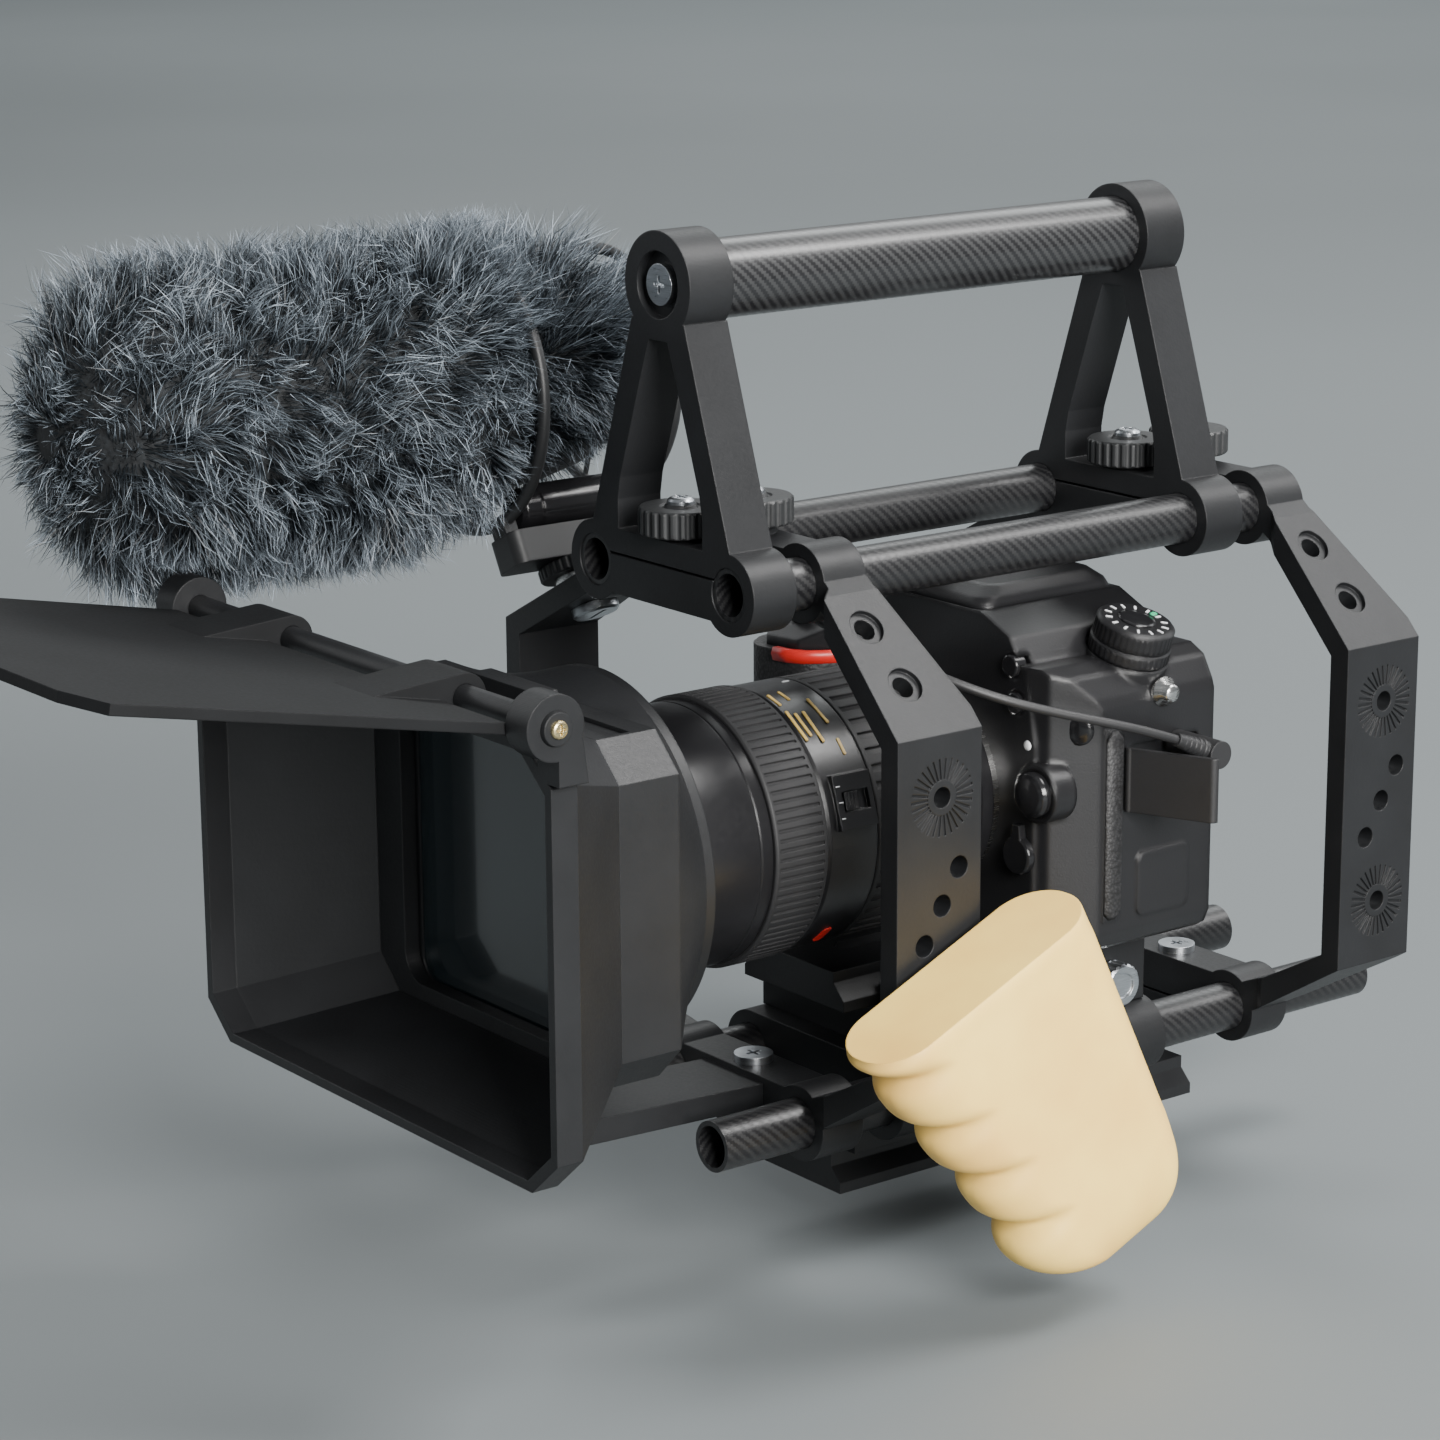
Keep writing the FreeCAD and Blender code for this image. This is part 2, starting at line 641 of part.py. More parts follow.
def octagon(half_w, half_h, cut_w, cut_h):
    return outline([
        (-half_w + cut_w, -half_h), (half_w - cut_w, -half_h), (half_w, -half_h + cut_h),
        (half_w, half_h - cut_h), (half_w - cut_w, half_h), (-half_w + cut_w, half_h),
        (-half_w, half_h - cut_h), (-half_w, -half_h + cut_h),
    ])


def arc_octagon(radius, like):
    """A circle in eight arcs whose ends lie in line with an octagon's corners."""
    angles = [math.atan2(v, u) for u, v in like[1]]
    points = []
    for k, angle in enumerate(angles):
        before = angles[k - 1]
        if before > angle:
            before -= 2.0 * math.pi
        mid = (before + angle) / 2.0
        points.append((
            radius * math.cos(angle), radius * math.sin(angle),
            radius * math.cos(mid), radius * math.sin(mid),
        ))
    return outline(points)


wall = val("hood_wall")
rim = (val("hood_half_w"), val("hood_half_h"))
neck = (val("stage_half_w"), val("stage_half_h"))
hood = matte_body("matte_box_hood")
blend(hood, "Shell", "y", [
    (val("hood_y"), octagon(rim[0], rim[1], 12.5, 11.0)),
    (-98.0, octagon(rim[0], rim[1], 12.5, 11.0)),
    (-63.4, octagon(neck[0], neck[1], 11.0, 11.0)),
])
ear_z = val("flag_z") - val("lens_z")
ear_web = outline([
    (-106.6, 54.8), (-97.0, 54.8), (-99.2, ear_z), (val("flag_y") - 9.0, ear_z),
    (val("flag_y") - 4.0, ear_z - 8.3), (-106.6, ear_z - 9.0),
])
for ear_name, ear_low, ear_high in (("Left", -98.0, -88.0), ("Right", 88.0, 98.0)):
    solid(hood, ear_name + "Web", "x", ear_low, ear_high, ear_web)
    solid(hood, ear_name + "Ear", "x", ear_low, ear_high, circle(val("flag_y"), ear_z, 9.3))
blend(hood, "Funnel", "y", [
    (val("hood_y"), octagon(rim[0] - wall, rim[1] - wall, 11.6, 10.2)),
    (-98.0, octagon(rim[0] - wall, rim[1] - wall, 11.6, 10.2)),
    (-63.4, octagon(neck[0] - wall, neck[1] - wall, 10.2, 10.2)),
], groove=True)
cut(hood, "RodBores", "x", -98.0, 98.0, circle(val("flag_y"), ear_z, val("flag_rod_r") + 0.05))

stage = matte_body("matte_box_stage")
solid(stage, "Block", "y", -63.4, -42.4, octagon(neck[0], neck[1], 11.0, 11.0))
cut(stage, "Window", "y", -63.4, -42.4, soft_box(48.0, 44.0, 9.0))
cut(stage, "Slot", "z", -50.0, neck[1], box(-52.0, 52.0, -58.2, -50.2))
cut(stage, "GripNotch", "z", 46.0, neck[1], box(-14.0, 14.0, -63.4, -58.2))

tray = matte_body("filter_tray")
solid(tray, "Frame", "y", -58.0, -50.4, box(-51.8, 51.8, -49.8, 50.8))
solid(tray, "Tab", "y", -58.0, -50.4, outline([
    (-20.0, 50.8), (20.0, 50.8), (17.0, 57.5), (-17.0, 57.5),
]))
cut(tray, "Window", "y", -58.0, -50.4, soft_box(44.0, 42.0, 8.0))
cut(tray, "GlassSeat", "y", -58.0, -53.4, soft_box(46.5, 44.5, 8.0))

glass = matte_body("filter_glass")
solid(glass, "Pane", "y", -57.4, -53.4, soft_box(46.3, 44.3, 7.8))

adapter = matte_body("matte_box_adapter")
big = octagon(neck[0], neck[1], 11.0, 11.0)
blend(adapter, "Taper", "y", [(-42.4, big), (-27.0, arc_octagon(57.0, big))])
solid(adapter, "Collar", "y", -27.0, -23.7, circle(0.0, 0.0, 57.0))
cut(adapter, "Chamber", "y", -42.4, -30.0, circle(0.0, 0.0, 49.0))
cut(adapter, "LensBore", "y", -30.0, -23.7, circle(0.0, 0.0, val("front_barrel_r") + 0.15))

bracket = make_body("matte_box_bracket")
solid(bracket, "Arm", "x", -15.0, 15.0, outline([
    (-60.0, -133.1), (-46.0, -133.1), (-46.0, -158.5), (26.0, -161.5), (26.0, -169.0),
    (-56.0, -166.0), (-60.0, -162.0),
]))

flag_rod = make_body("flag_rod", (0.0, val("flag_y"), val("flag_z")))
spin(flag_rod, "Turned", "x", [
    (-99.4, 0.0), (-99.4, 4.6), (-98.0, 5.0), (-98.0, val("flag_rod_r")),
    (98.0, val("flag_rod_r")), (98.0, 5.0), (99.4, 4.6), (99.4, 0.0),
])

tilt = Rotation(Vector(1, 0, 0), -val("flag_tilt"))
flag = make_body("flag_panel", (0.0, val("flag_y"), val("flag_z")), tilt)
half = val("flag_half_w")
flag_top = -1.0
flag_low = flag_top - val("flag_thick")
solid(flag, "Plate", "z", flag_low, flag_top, outline([
    (-half, -8.0), (half, -8.0), (half, -val("flag_len") + 6.0), (half - 16.0, -val("flag_len")),
    (-half + 16.0, -val("flag_len")), (-half, -val("flag_len") + 6.0),
]))
for knuckle_name, centre_x in (("Left", -45.0), ("Right", 45.0)):
    solid(flag, knuckle_name + "Barrel", "x", centre_x - 10.0, centre_x + 10.0, circle(0.0, 0.0, 7.0))
    solid(flag, knuckle_name + "Fin", "x", centre_x - 10.0, centre_x + 10.0, outline([
        (-2.0, flag_low), (-2.0, 6.7), (-30.0, flag_top), (-30.0, flag_low),
    ]))
cut(flag, "RodBores", "x", -60.0, 60.0, circle(0.0, 0.0, val("flag_rod_r") + 0.08))


# ---------------------------------------------------------------- lens

def lens_body(label):
    return make_body(label, (0.0, 0.0, val("lens_z")))


front_r = val("front_barrel_r")
sleeve_r = val("sleeve_r")
bore_r = val("ring_bore_r")
front = lens_body("lens_front_barrel")
spin(front, "Turned", "y", [
    (-29.0, 38.6), (-29.0, 40.5), (-28.5, front_r), (5.4, front_r), (5.4, front_r - 0.3),
    (6.0, front_r - 0.3), (6.0, front_r), (10.1, front_r), (10.1, sleeve_r), (30.5, sleeve_r),
    (30.5, 30.0), (-13.8, 30.0), (-13.8, 37.0), (-21.5, 37.4), (-21.5, 38.0),
])

front_glass = lens_body("lens_front_glass")
spin(front_glass, "Dome", "y", [
    (-13.8, 0.0), (-13.8, 36.9), (-15.5, 36.9), (-17.3, 30.0), (-18.8, 22.5), (-19.9, 15.0),
    (-20.6, 7.5), (-20.8, 0.5), (-20.8, 0.0),
])

focus = lens_body("lens_focus_ring")
spin(focus, "Turned", "y", [
    (10.3, bore_r), (10.3, 41.8), (10.9, val("focus_r")), (29.7, val("focus_r")),
    (30.3, 41.8), (30.3, bore_r),
])
rib = cut(focus, "Rib", "y", 11.9, 28.7, box(41.75, 43.5, -0.5, 0.5))
repeat_round(focus, "Ribs", rib, "focus_ribs", (origin_part(focus, "Y_Axis"), [""]))

mid = lens_body("lens_name_barrel")
spin(mid, "Turned", "y", [
    (30.5, 30.0), (30.5, 41.0), (32.0, 41.6), (49.7, 41.6), (49.7, sleeve_r),
    (80.0, sleeve_r), (80.0, 30.0),
])
panel_turn = Rotation(Vector(0, 1, 0), -18.5)


def panel_spot(radial, y, across):
    return panel_turn.multVec(Vector(radial, y, across))


def block(body, name, corner, size, turn, remove=False):
    """Add or remove a box with one corner at a point, turned about it."""
    kind = "PartDesign::SubtractiveBox" if remove else "PartDesign::AdditiveBox"
    item = body.newObject(kind, name)
    for prop, value in zip(("Length", "Width", "Height"), size):
        bind(item, prop, value, "%s_%s_%s" % (body.Label, name, prop.lower()))
    item.Placement = Placement(Vector(*corner), turn)
    body.Tip = item
    return item


block(mid, "Panel", panel_spot(40.0, 34.5, -8.5), (3.0, 14.2, 17.0), panel_turn)
block(mid, "SwitchSlot", panel_spot(41.4, 37.0, -3.0), (3.0, 10.0, 6.0), panel_turn, remove=True)

switch = lens_body("focus_mode_switch")
block(switch, "Slider", panel_spot(41.5, 37.4, -2.8), (2.1, 5.0, 5.6), panel_turn)
for k in range(3):
    block(switch, "Notch%d" % k, panel_spot(43.1, 38.4 + 1.2 * k, -2.8), (1.0, 0.5, 5.6), panel_turn, remove=True)

zoom = lens_body("lens_zoom_ring")
spin(zoom, "Turned", "y", [
    (49.9, bore_r), (49.9, 41.0), (50.5, val("zoom_r")), (79.2, val("zoom_r")),
    (79.8, 41.0), (79.8, bore_r),
])
zoom_rib = cut(zoom, "Rib", "y", 52.0, 77.8, box(40.7, 43.0, -1.1, 1.1))
repeat_round(zoom, "Ribs", zoom_rib, "zoom_ribs", (origin_part(zoom, "Y_Axis"), [""]))

rear = lens_body("lens_rear_barrel")
spin(rear, "Turned", "y", [
    (80.0, 26.0), (80.0, 41.2), (84.5, 41.2), (96.0, 36.0), (98.5, 34.0), (103.0, 34.0),
    (103.0, 26.0),
])

mount = lens_body("lens_mount_ring")
spin(mount, "Turned", "y", [
    (103.0, 25.0), (103.0, 32.0), (107.0, 32.0), (107.0, 25.0),
])


# ---------------------------------------------------------------- camera

side = val("camera_side")
back = val("camera_rear")
floor = val("camera_floor")
far = val("camera_grip_side")
camera = make_body("camera_body")
solid(camera, "Core", "z", floor, -36.0, outline([
    (side, back), (far, back), (far, 120.0), (-42.0, 120.0), (-34.0, 107.0),
    (44.0, 107.0), (52.0, 109.5), (side, 124.0),
]))
solid(camera, "Block", "y", 107.0, 166.0, outline([
    (-36.0, -118.0), (-36.0, -46.0), (-30.0, -30.0), (-22.0, -22.0), (22.0, -22.0),
    (36.0, -28.0), (44.0, -40.0), (48.0, -60.0), (48.0, -112.0), (42.0, -118.0),
]))
solid(camera, "Deck", "z", -48.0, -36.0, outline([
    (far, 121.0), (far + 2.0, 104.0), (-72.0, 96.0), (-57.0, 97.0), (-49.0, 106.0), (-44.0, 121.0),
]))
cut(camera, "SideShoulder", "y", 100.0, 180.0, outline([
    (side + 1.0, -52.0), (side - 1.0, -46.0), (side - 5.0, -39.0), (side - 12.0, -35.5), (side + 1.0, -35.5),
]))
cut(camera, "GripShoulder", "y", 90.0, 180.0, outline([
    (far - 1.0, -50.0), (far + 3.0, -42.0), (far + 10.0, -35.5), (far - 1.0, -35.5),
]))
cut(camera, "FootBevel", "y", 100.0, 180.0, outline([
    (side + 1.0, -122.0), (side, -122.0), (side - 2.0, -126.5), (side - 6.0, floor), (side + 1.0, floor),
]), outline([
    (far - 1.0, -122.0), (far, -122.0), (far + 2.0, -126.5), (far + 6.0, floor), (far - 1.0, floor),
]))
cut(camera, "FrontSlope", "x", -90.0, -30.0, outline([(94.0, -46.0), (94.0, -35.0), (114.0, -35.0)]))
peg(camera, "ReleaseBoss", (51.0, 114.0, -74.5), (0.0, -1.0, 0.0), 9.3, 9.0)
solid(camera, "LowerDoor", "x", side - 1.0, side + 0.7, soft_box(11.0, 10.5, 3.0, (151.0, -108.0)))
solid(camera, "Leather", "x", side - 1.0, side + 0.6, box(125.5, 132.7, -118.0, -56.0))
cut(camera, "PortBay", "x", side - 2.5, side, soft_box(15.0, 10.6, 2.5, (151.0, -72.6)))
cut(camera, "PortHole", "x", side - 12.0, side, circle(156.0, -64.5, 3.05))
for port_name, port_z in (("PortTwo", -71.5), ("PortThree", -78.0)):
    cut(camera, port_name, "x", side - 9.0, side - 2.5, soft_box(5.0, 1.9, 1.2, (151.0, port_z)))
cut(camera, "MountMouth", "y", 107.0, 124.0, circle(0.0, val("lens_z"), 24.0))

DIAL_BASE = Vector(47.5, 146.0, -36.5)
DIAL_WAY = Vector(0.28, 0.05, 0.959)
DIAL_WAY.normalize()
dial_start = DIAL_BASE - DIAL_WAY * 7.0
peg(camera, "DialPedestal", tuple(dial_start), tuple(DIAL_WAY), 13.2, 7.0)
drill(camera, "DialRoom", tuple(DIAL_BASE), tuple(DIAL_WAY), 13.6, 16.0)
drill(camera, "DialBore", tuple(dial_start), tuple(DIAL_WAY), 3.05, 7.0)

BUTTONS = (
    ("flash_button", (37.5, 107.0, -36.5), 3.6, 1.6),
    ("bracket_button", (39.5, 107.0, -48.0), 3.4, 1.6),
)
for button_name, spot, radius, _ in BUTTONS:
    drill(camera, button_name + "_well", (spot[0], spot[1] + 5.0, spot[2]), (0.0, -1.0, 0.0), radius + 0.1, 5.0)
drill(camera, "ReleaseWell", (51.0, 113.0, -74.5), (0.0, -1.0, 0.0), 7.4, 8.0)
drill(camera, "LeverWell", (43.0, 113.0, -96.0), (0.0, -1.0, 0.0), 3.05, 6.0)
shutter_turn = Vector(0.0, -0.35, 0.94)
shutter_turn.normalize()
SHUTTER = Vector(-66.0, 108.0, -38.7)
drill(camera, "ShutterWell", tuple(SHUTTER - shutter_turn * 5.0), tuple(shutter_turn), 5.1, 20.0)

hand_grip = make_body("camera_hand_grip")
solid(hand_grip, "Bulge", "z", -126.0, -48.0, outline([
    (far + 0.5, 120.0), (far - 2.0, 108.0), (far + 1.0, 98.0, far - 1.6, 102.0),
    (-70.0, 92.5, -76.5, 94.0), (-58.0, 94.0), (-50.0, 102.0, -53.0, 97.0), (-46.0, 113.0), (-43.0, 120.0),
]))
soften(hand_grip, "LowerEdge", 4.0, lambda e: middle(e).z < -125.9 and middle(e).y < 119.0)

prism = make_body("camera_prism")
blend(prism, "Hump", "z", [
    (-22.0, soft_box(21.8, 29.0, 6.0, (0.0, 136.5))),
    (-19.0, soft_box(20.5, 27.0, 6.0, (0.0, 137.0))),
    (-16.0, soft_box(16.0, 22.0, 5.0, (0.0, 138.5))),
])

dial_turn = Rotation(Vector(0, 0, 1), DIAL_WAY)
release_ring = make_body("release_mode_ring", tuple(DIAL_BASE), dial_turn)
spin(release_ring, "Turned", "z", [(0.1, 3.05), (0.1, 12.6), (0.8, 13.0), (4.4, 13.0), (5.0, 12.4), (5.0, 3.05)])
ring_flute = cut(release_ring, "Flute", "z", 0.8, 4.4, circle(13.35, 0.0, 0.65))
repeat_round(release_ring, "Flutes", ring_flute, 40.0, (origin_part(release_ring, "Z_Axis"), [""]))

dial = make_body("mode_dial", tuple(DIAL_BASE), dial_turn)
spin(dial, "Turned", "z", [
    (-6.0, 0.0), (-6.0, 3.0), (5.2, 3.0), (5.2, 12.6), (11.0, 12.6), (11.8, 11.8), (11.8, 0.0),
])
dial_flute = cut(dial, "Flute", "z", 5.6, 10.6, circle(12.9, 0.0, 0.6))
repeat_round(dial, "Flutes", dial_flute, 40.0, (origin_part(dial, "Z_Axis"), [""]))

shutter = make_body("shutter_button", tuple(SHUTTER), Rotation(Vector(0, 0, 1), shutter_turn))
spin(shutter, "Turned", "z", [(-2.6, 0.0), (-2.6, 5.0), (3.4, 5.0), (4.4, 4.2), (4.1, 0.5), (4.1, 0.0)])

for button_name, spot, radius, proud in BUTTONS:
    button = make_body(button_name, spot)
    spin(button, "Turned", "y", [
        (2.6, 0.0), (2.6, radius), (-proud + 0.4, radius), (-proud, radius - 0.5), (-proud, 0.0),
    ])

release = make_body("lens_release_button", (51.0, 105.0, -74.5))
spin(release, "Turned", "y", [
    (4.6, 0.0), (4.6, 7.3), (-1.6, 7.3), (-2.9, 6.8), (-3.6, 5.6), (-4.2, 2.9), (-4.4, 0.5), (-4.4, 0.0),
])

lever = make_body("focus_mode_lever", (43.0, 107.0, -96.0))
spin(lever, "Turned", "y", [
    (5.0, 0.0), (5.0, 3.0), (-0.2, 3.0), (-0.2, 6.2), (-2.4, 6.2), (-3.0, 5.6), (-3.0, 0.0),
])
solid(lever, "Tip", "y", -3.0, -0.2, outline([(-2.2, 4.0), (2.2, 4.0), (1.5, 10.0), (-1.5, 10.0)]))

door = make_body("port_door", (61.6, 134.6, -72.6), Rotation(Vector(0, 0, 1), 23.2))
solid(door, "Flap", "z", -10.2, 10.2, outline([
    (0.0, -1.0), (27.0, -1.0), (29.4, 1.0, 28.8, -0.4), (0.0, 1.0),
]))
peg(door, "HingeBarrel", (0.0, 0.0, -10.2), (0.0, 0.0, 1.0), 1.3, 20.4)

screen = make_body("rear_screen")
solid(screen, "Panel", "y", back, back + 3.0, soft_box(38.0, 27.0, 3.0, (-6.0, -88.0)))
cut(screen, "Window", "y", back + 2.4, back + 3.0, soft_box(33.5, 22.5, 1.5, (-6.0, -88.0)))

eyecup = make_body("eyecup")
solid(eyecup, "Cup", "y", back, 180.0, soft_box(17.0, 9.5, 7.0, (0.0, -45.5)))
cut(eyecup, "Opening", "y", 175.0, 180.0, soft_box(12.0, 6.5, 5.0, (0.0, -45.5)))


# ---------------------------------------------------------------- microphone

mic_turn = Rotation(Vector(0, 1, 0), val("mic_tilt"))
MIC_FOOT = Vector(-89.0, 36.0, -1.0 - 39.5 * 0.5287)
mic_centre = MIC_FOOT + mic_turn.multVec(Vector(0, 0, val("mic_axis")))


def mic_body(label, on_axis=False):
    return make_body(label, tuple(mic_centre if on_axis else MIC_FOOT), mic_turn)


mic_bolt = mic_body("mic_mount_bolt")
spin(mic_bolt, "Turned", "z", [
    (-10.9, 0.0), (-10.9, 7.0), (-10.2, 7.8), (-7.6, 7.8), (-7.6, 3.1), (3.2, 3.1), (3.2, 0.0),
])
cut(mic_bolt, "Drive", "z", -10.9, -9.4, box(-5.0, 5.0, -0.7, 0.7))

mic_shoe = mic_body("mic_shoe")
spin(mic_shoe, "Turned", "z", [(0.05, 3.15), (0.05, 9.6), (0.5, 10.0), (3.3, 10.0), (3.3, 3.15)])

lock_ring = mic_body("mic_lock_ring")
spin(lock_ring, "Turned", "z", [(3.5, 5.05), (3.5, 14.0), (4.1, 14.5), (7.3, 14.5), (7.9, 14.0), (7.9, 5.05)])
lock_rib = cut(lock_ring, "Rib", "z", 3.5, 7.9, circle(14.95, 0.0, 0.85))
repeat_round(lock_ring, "Ribs", lock_rib, 36.0, (origin_part(lock_ring, "Z_Axis"), [""]))

saddle = mic_body("mic_saddle")
solid(saddle, "Bar", "z", 8.1, 19.0, soft_box(8.0, 31.0, 4.0, (0.0, 3.0)))
peg(saddle, "Spigot", (0.0, 0.0, 3.4), (0.0, 0.0, 1.0), 5.0, 6.0)

tube = make_body("mic_power_tube", tuple(MIC_FOOT + mic_turn.multVec(Vector(0, 0, 27.0))), mic_turn)
spin(tube, "Turned", "y", [
    (-20.0, 0.0), (-20.0, 5.6), (-18.6, 7.0), (-13.0, 7.4), (-12.6, 8.0), (24.4, 8.0),
    (26.0, 6.4), (26.0, 0.0),
])

hoops = mic_body("mic_hoops", True)
hoops.AllowCompound = True
for hoop_name, y, radius, foot in (("Front", -25.0, 46.0, 6.6), ("Rear", 31.0, 40.0, 12.6)):
    ring_wire(hoops, hoop_name + "Hoop", y, radius, "hoop_wire_r")
    block(hoops, hoop_name + "Foot", (-4.0, y - 2.4, -51.0), (8.0, 4.8, foot), Rotation())
for k in range(4):
    angle = math.radians(45.0 + 90.0 * k)
    way = (math.cos(angle), 0.0, math.sin(angle))
    peg(hoops, "Band%d" % k, (10.55 * way[0], 31.0, 10.55 * way[2]), way, 0.9, 29.0)

barrel = mic_body("mic_barrel", True)
spin(barrel, "Turned", "y", [
    (22.1, 0.0), (22.1, 10.5), (40.4, 10.5), (41.4, 9.5), (41.4, 0.0),
])

fur = mic_body("windscreen", True)
screen_r = val("windscreen_r")
spin(fur, "Core", "y", [
    (-174.0, 0.0), (-174.0, 14.0), (-146.0, screen_r, -165.8, 33.8), (-56.0, screen_r),
    (-18.0, 35.2), (14.0, 30.0), (22.0, 22.0, 19.66, 27.66), (22.0, 0.0),
])


# ---------------------------------------------------------------- cable

CABLE_ROUTE = [
    (-95.3, 70.2, -10.0), (-95.0, 80.5, -10.6), (-87.0, 91.0, -12.4), (-73.0, 93.0, -15.0),
    (-58.0, 86.0, -18.0), (-42.0, 75.5, -20.5), (-24.0, 67.5, -22.2), (-4.0, 62.5, -23.0),
    (17.0, 60.5, -24.6), (36.0, 62.5, -28.0), (51.5, 70.5, -33.5), (60.5, 83.0, -39.2),
    (66.0, 98.0, -44.2), (71.0, 114.0, -48.8), (74.6, 129.0, -53.4), (76.0, 140.4, -57.7),
]


def rounded_path(points):
    """Straight runs joined by tangent arcs, each as large as its two runs allow."""
    spots = [Vector(*p) for p in points]
    edges = []
    radii = []
    here = spots[0]
    for k in range(1, len(spots) - 1):
        way_in = spots[k] - spots[k - 1]
        way_out = spots[k + 1] - spots[k]
        run = min(way_in.Length, way_out.Length)
        way_in.normalize()
        way_out.normalize()
        half_turn_angle = way_in.getAngle(way_out) / 2.0
        setback = 0.45 * run
        radii.append(setback / math.tan(half_turn_angle))
        start = spots[k] - way_in * setback
        stop = spots[k] + way_out * setback
        bisector = way_out - way_in
        bisector.normalize()
        centre_gap = radii[-1] / math.cos(half_turn_angle)
        middle_spot = spots[k] + bisector * (centre_gap - radii[-1])
        edges.append(Part.LineSegment(here, start).toShape())
        edges.append(Part.Arc(start, middle_spot, stop).toShape())
        here = stop
    edges.append(Part.LineSegment(here, spots[-1]).toShape())
    return Part.Wire(edges), radii


def size_now(name):
    return float(sheet.get(name))


doc.recompute()
cable_r = size_now("cable_r")
route, radii = rounded_path(CABLE_ROUTE)
first_way = Vector(*CABLE_ROUTE[1]) - Vector(*CABLE_ROUTE[0])
section = Part.Wire([Part.makeCircle(cable_r, Vector(*CABLE_ROUTE[0]), first_way)])
cable_shape = route.makePipeShell([section], True, False)
cable = doc.addObject("Part::Feature", "mic_cable")
cable.Label = "mic_cable"
cable.Shape = cable_shape
cable.Placement = Placement(Vector(0, size_now("rig_y"), size_now("rig_z")), Rotation())
print("cable radii", ["%.1f" % r for r in radii])
print("cable length %.1f volume %.1f against %.1f" % (
    route.Length, cable_shape.Volume, math.pi * cable_r ** 2 * route.Length,
))

PLUG_AXIS_Y = 156.0
PLUG_AXIS_Z = -64.5
plug = make_body("mic_plug")
peg(plug, "Pin", (side - 11.0, PLUG_AXIS_Y, PLUG_AXIS_Z), (1.0, 0.0, 0.0), 3.0, 12.5)
peg(plug, "Shell", (side + 0.1, PLUG_AXIS_Y, PLUG_AXIS_Z), (1.0, 0.0, 0.0), 4.4, 19.9)
relief_axis = Vector(*CABLE_ROUTE[-1]) - Vector(76.0, PLUG_AXIS_Y, PLUG_AXIS_Z)
relief_length = relief_axis.Length
relief_axis.normalize()
sleeve = plug.newObject("PartDesign::AdditiveCone", "StrainRelief")
bind(sleeve, "Radius1", 3.2, "plug_relief_big_r")
bind(sleeve, "Radius2", 2.1, "plug_relief_small_r")
bind(sleeve, "Height", relief_length, "plug_relief_len")
sleeve.Placement = Placement(
    Vector(76.0, PLUG_AXIS_Y, PLUG_AXIS_Z), Rotation(Vector(0, 0, 1), relief_axis)
)
plug.Tip = sleeve


# ---------------------------------------------------------------- side grip

GRIP_TOP = (103.0, 71.0, -87.5)
grip_turn = Rotation(Vector(1, 0, 0), val("grip_tilt"))
GRIP_VALLEYS = ((-10.7, -79.2), (-34.1, -72.1), (-57.1, -64.8), (-80.7, -58.4))


def grip_front(z):
    """Front edge of the grip at a height: finger valleys with lobes between."""
    for (z_high, y_high), (z_low, y_low) in zip(GRIP_VALLEYS, GRIP_VALLEYS[1:]):
        if z_low <= z <= z_high:
            share = (z_high - z) / (z_high - z_low)
            return y_high + share * (y_low - y_high) - 6.0 * math.sin(math.pi * share) ** 0.8
    raise ValueError(z)


grip = make_body("finger_grip", GRIP_TOP, grip_turn)
half_t = val("grip_half_t")
levels = [(0.0, -86.0, 0.0, half_t - 0.6), (-2.5, -86.6, 0.2, half_t), (-6.0, -84.5, 0.4, half_t)]
for (z_high, y_high), (z_low, y_low) in zip(GRIP_VALLEYS, GRIP_VALLEYS[1:]):
    for share in (0.0, 0.2, 0.5, 0.8):
        z = z_high + share * (z_low - z_high)
        levels.append((z, grip_front(z), 0.5 - 0.035 * z, half_t))
levels += [
    (-80.7, -58.4, 3.4, half_t), (-85.5, -61.8, 3.3, half_t), (-92.0, -63.0, 3.0, half_t - 0.3),
    (-99.0, -59.5, 1.6, half_t - 1.4), (-105.0, -53.0, -1.6, half_t - 3.4),
    (-109.5, -44.0, -8.0, half_t - 6.6), (-111.5, -36.0, -15.0, half_t - 10.0),
]
sections = []
for z, y_front, y_back, thick in levels:
    half_len = (y_back - y_front) / 2.0
    sections.append((z, soft_box(thick, half_len, min(thick, half_len) - 0.8, (0.0, (y_back + y_front) / 2.0))))
blend(grip, "Form", "z", list(reversed(sections)), ruled=False)
HUB = (38.9, -123.4)
hub_local = grip_turn.inverted().multVec(
    Vector(val("plate_right_x") + 0.1, HUB[0], HUB[1]) - Vector(*GRIP_TOP)
)
peg(grip, "Hub", tuple(hub_local), (1.0, 0.0, 0.0), 11.6, 10.0)
drill(grip, "BoltBore", tuple(hub_local), (1.0, 0.0, 0.0), 3.05, 14.0)

bolt = make_body("grip_bolt", (val("plate_right_x") - val("plate_thick"), HUB[0], HUB[1]))
spin(bolt, "Turned", "x", [
    (-3.4, 0.0), (-3.4, 5.0), (-2.8, 5.5), (0.0, 5.5), (0.0, 3.0), (20.0, 3.0), (20.0, 0.0),
])


# ---------------------------------------------------------------- export

doc.recompute()
for item in doc.Objects:
    if "Invalid" in item.State or "Error" in item.State:
        raise RuntimeError("failed: %s %s" % (item.Name, item.State))

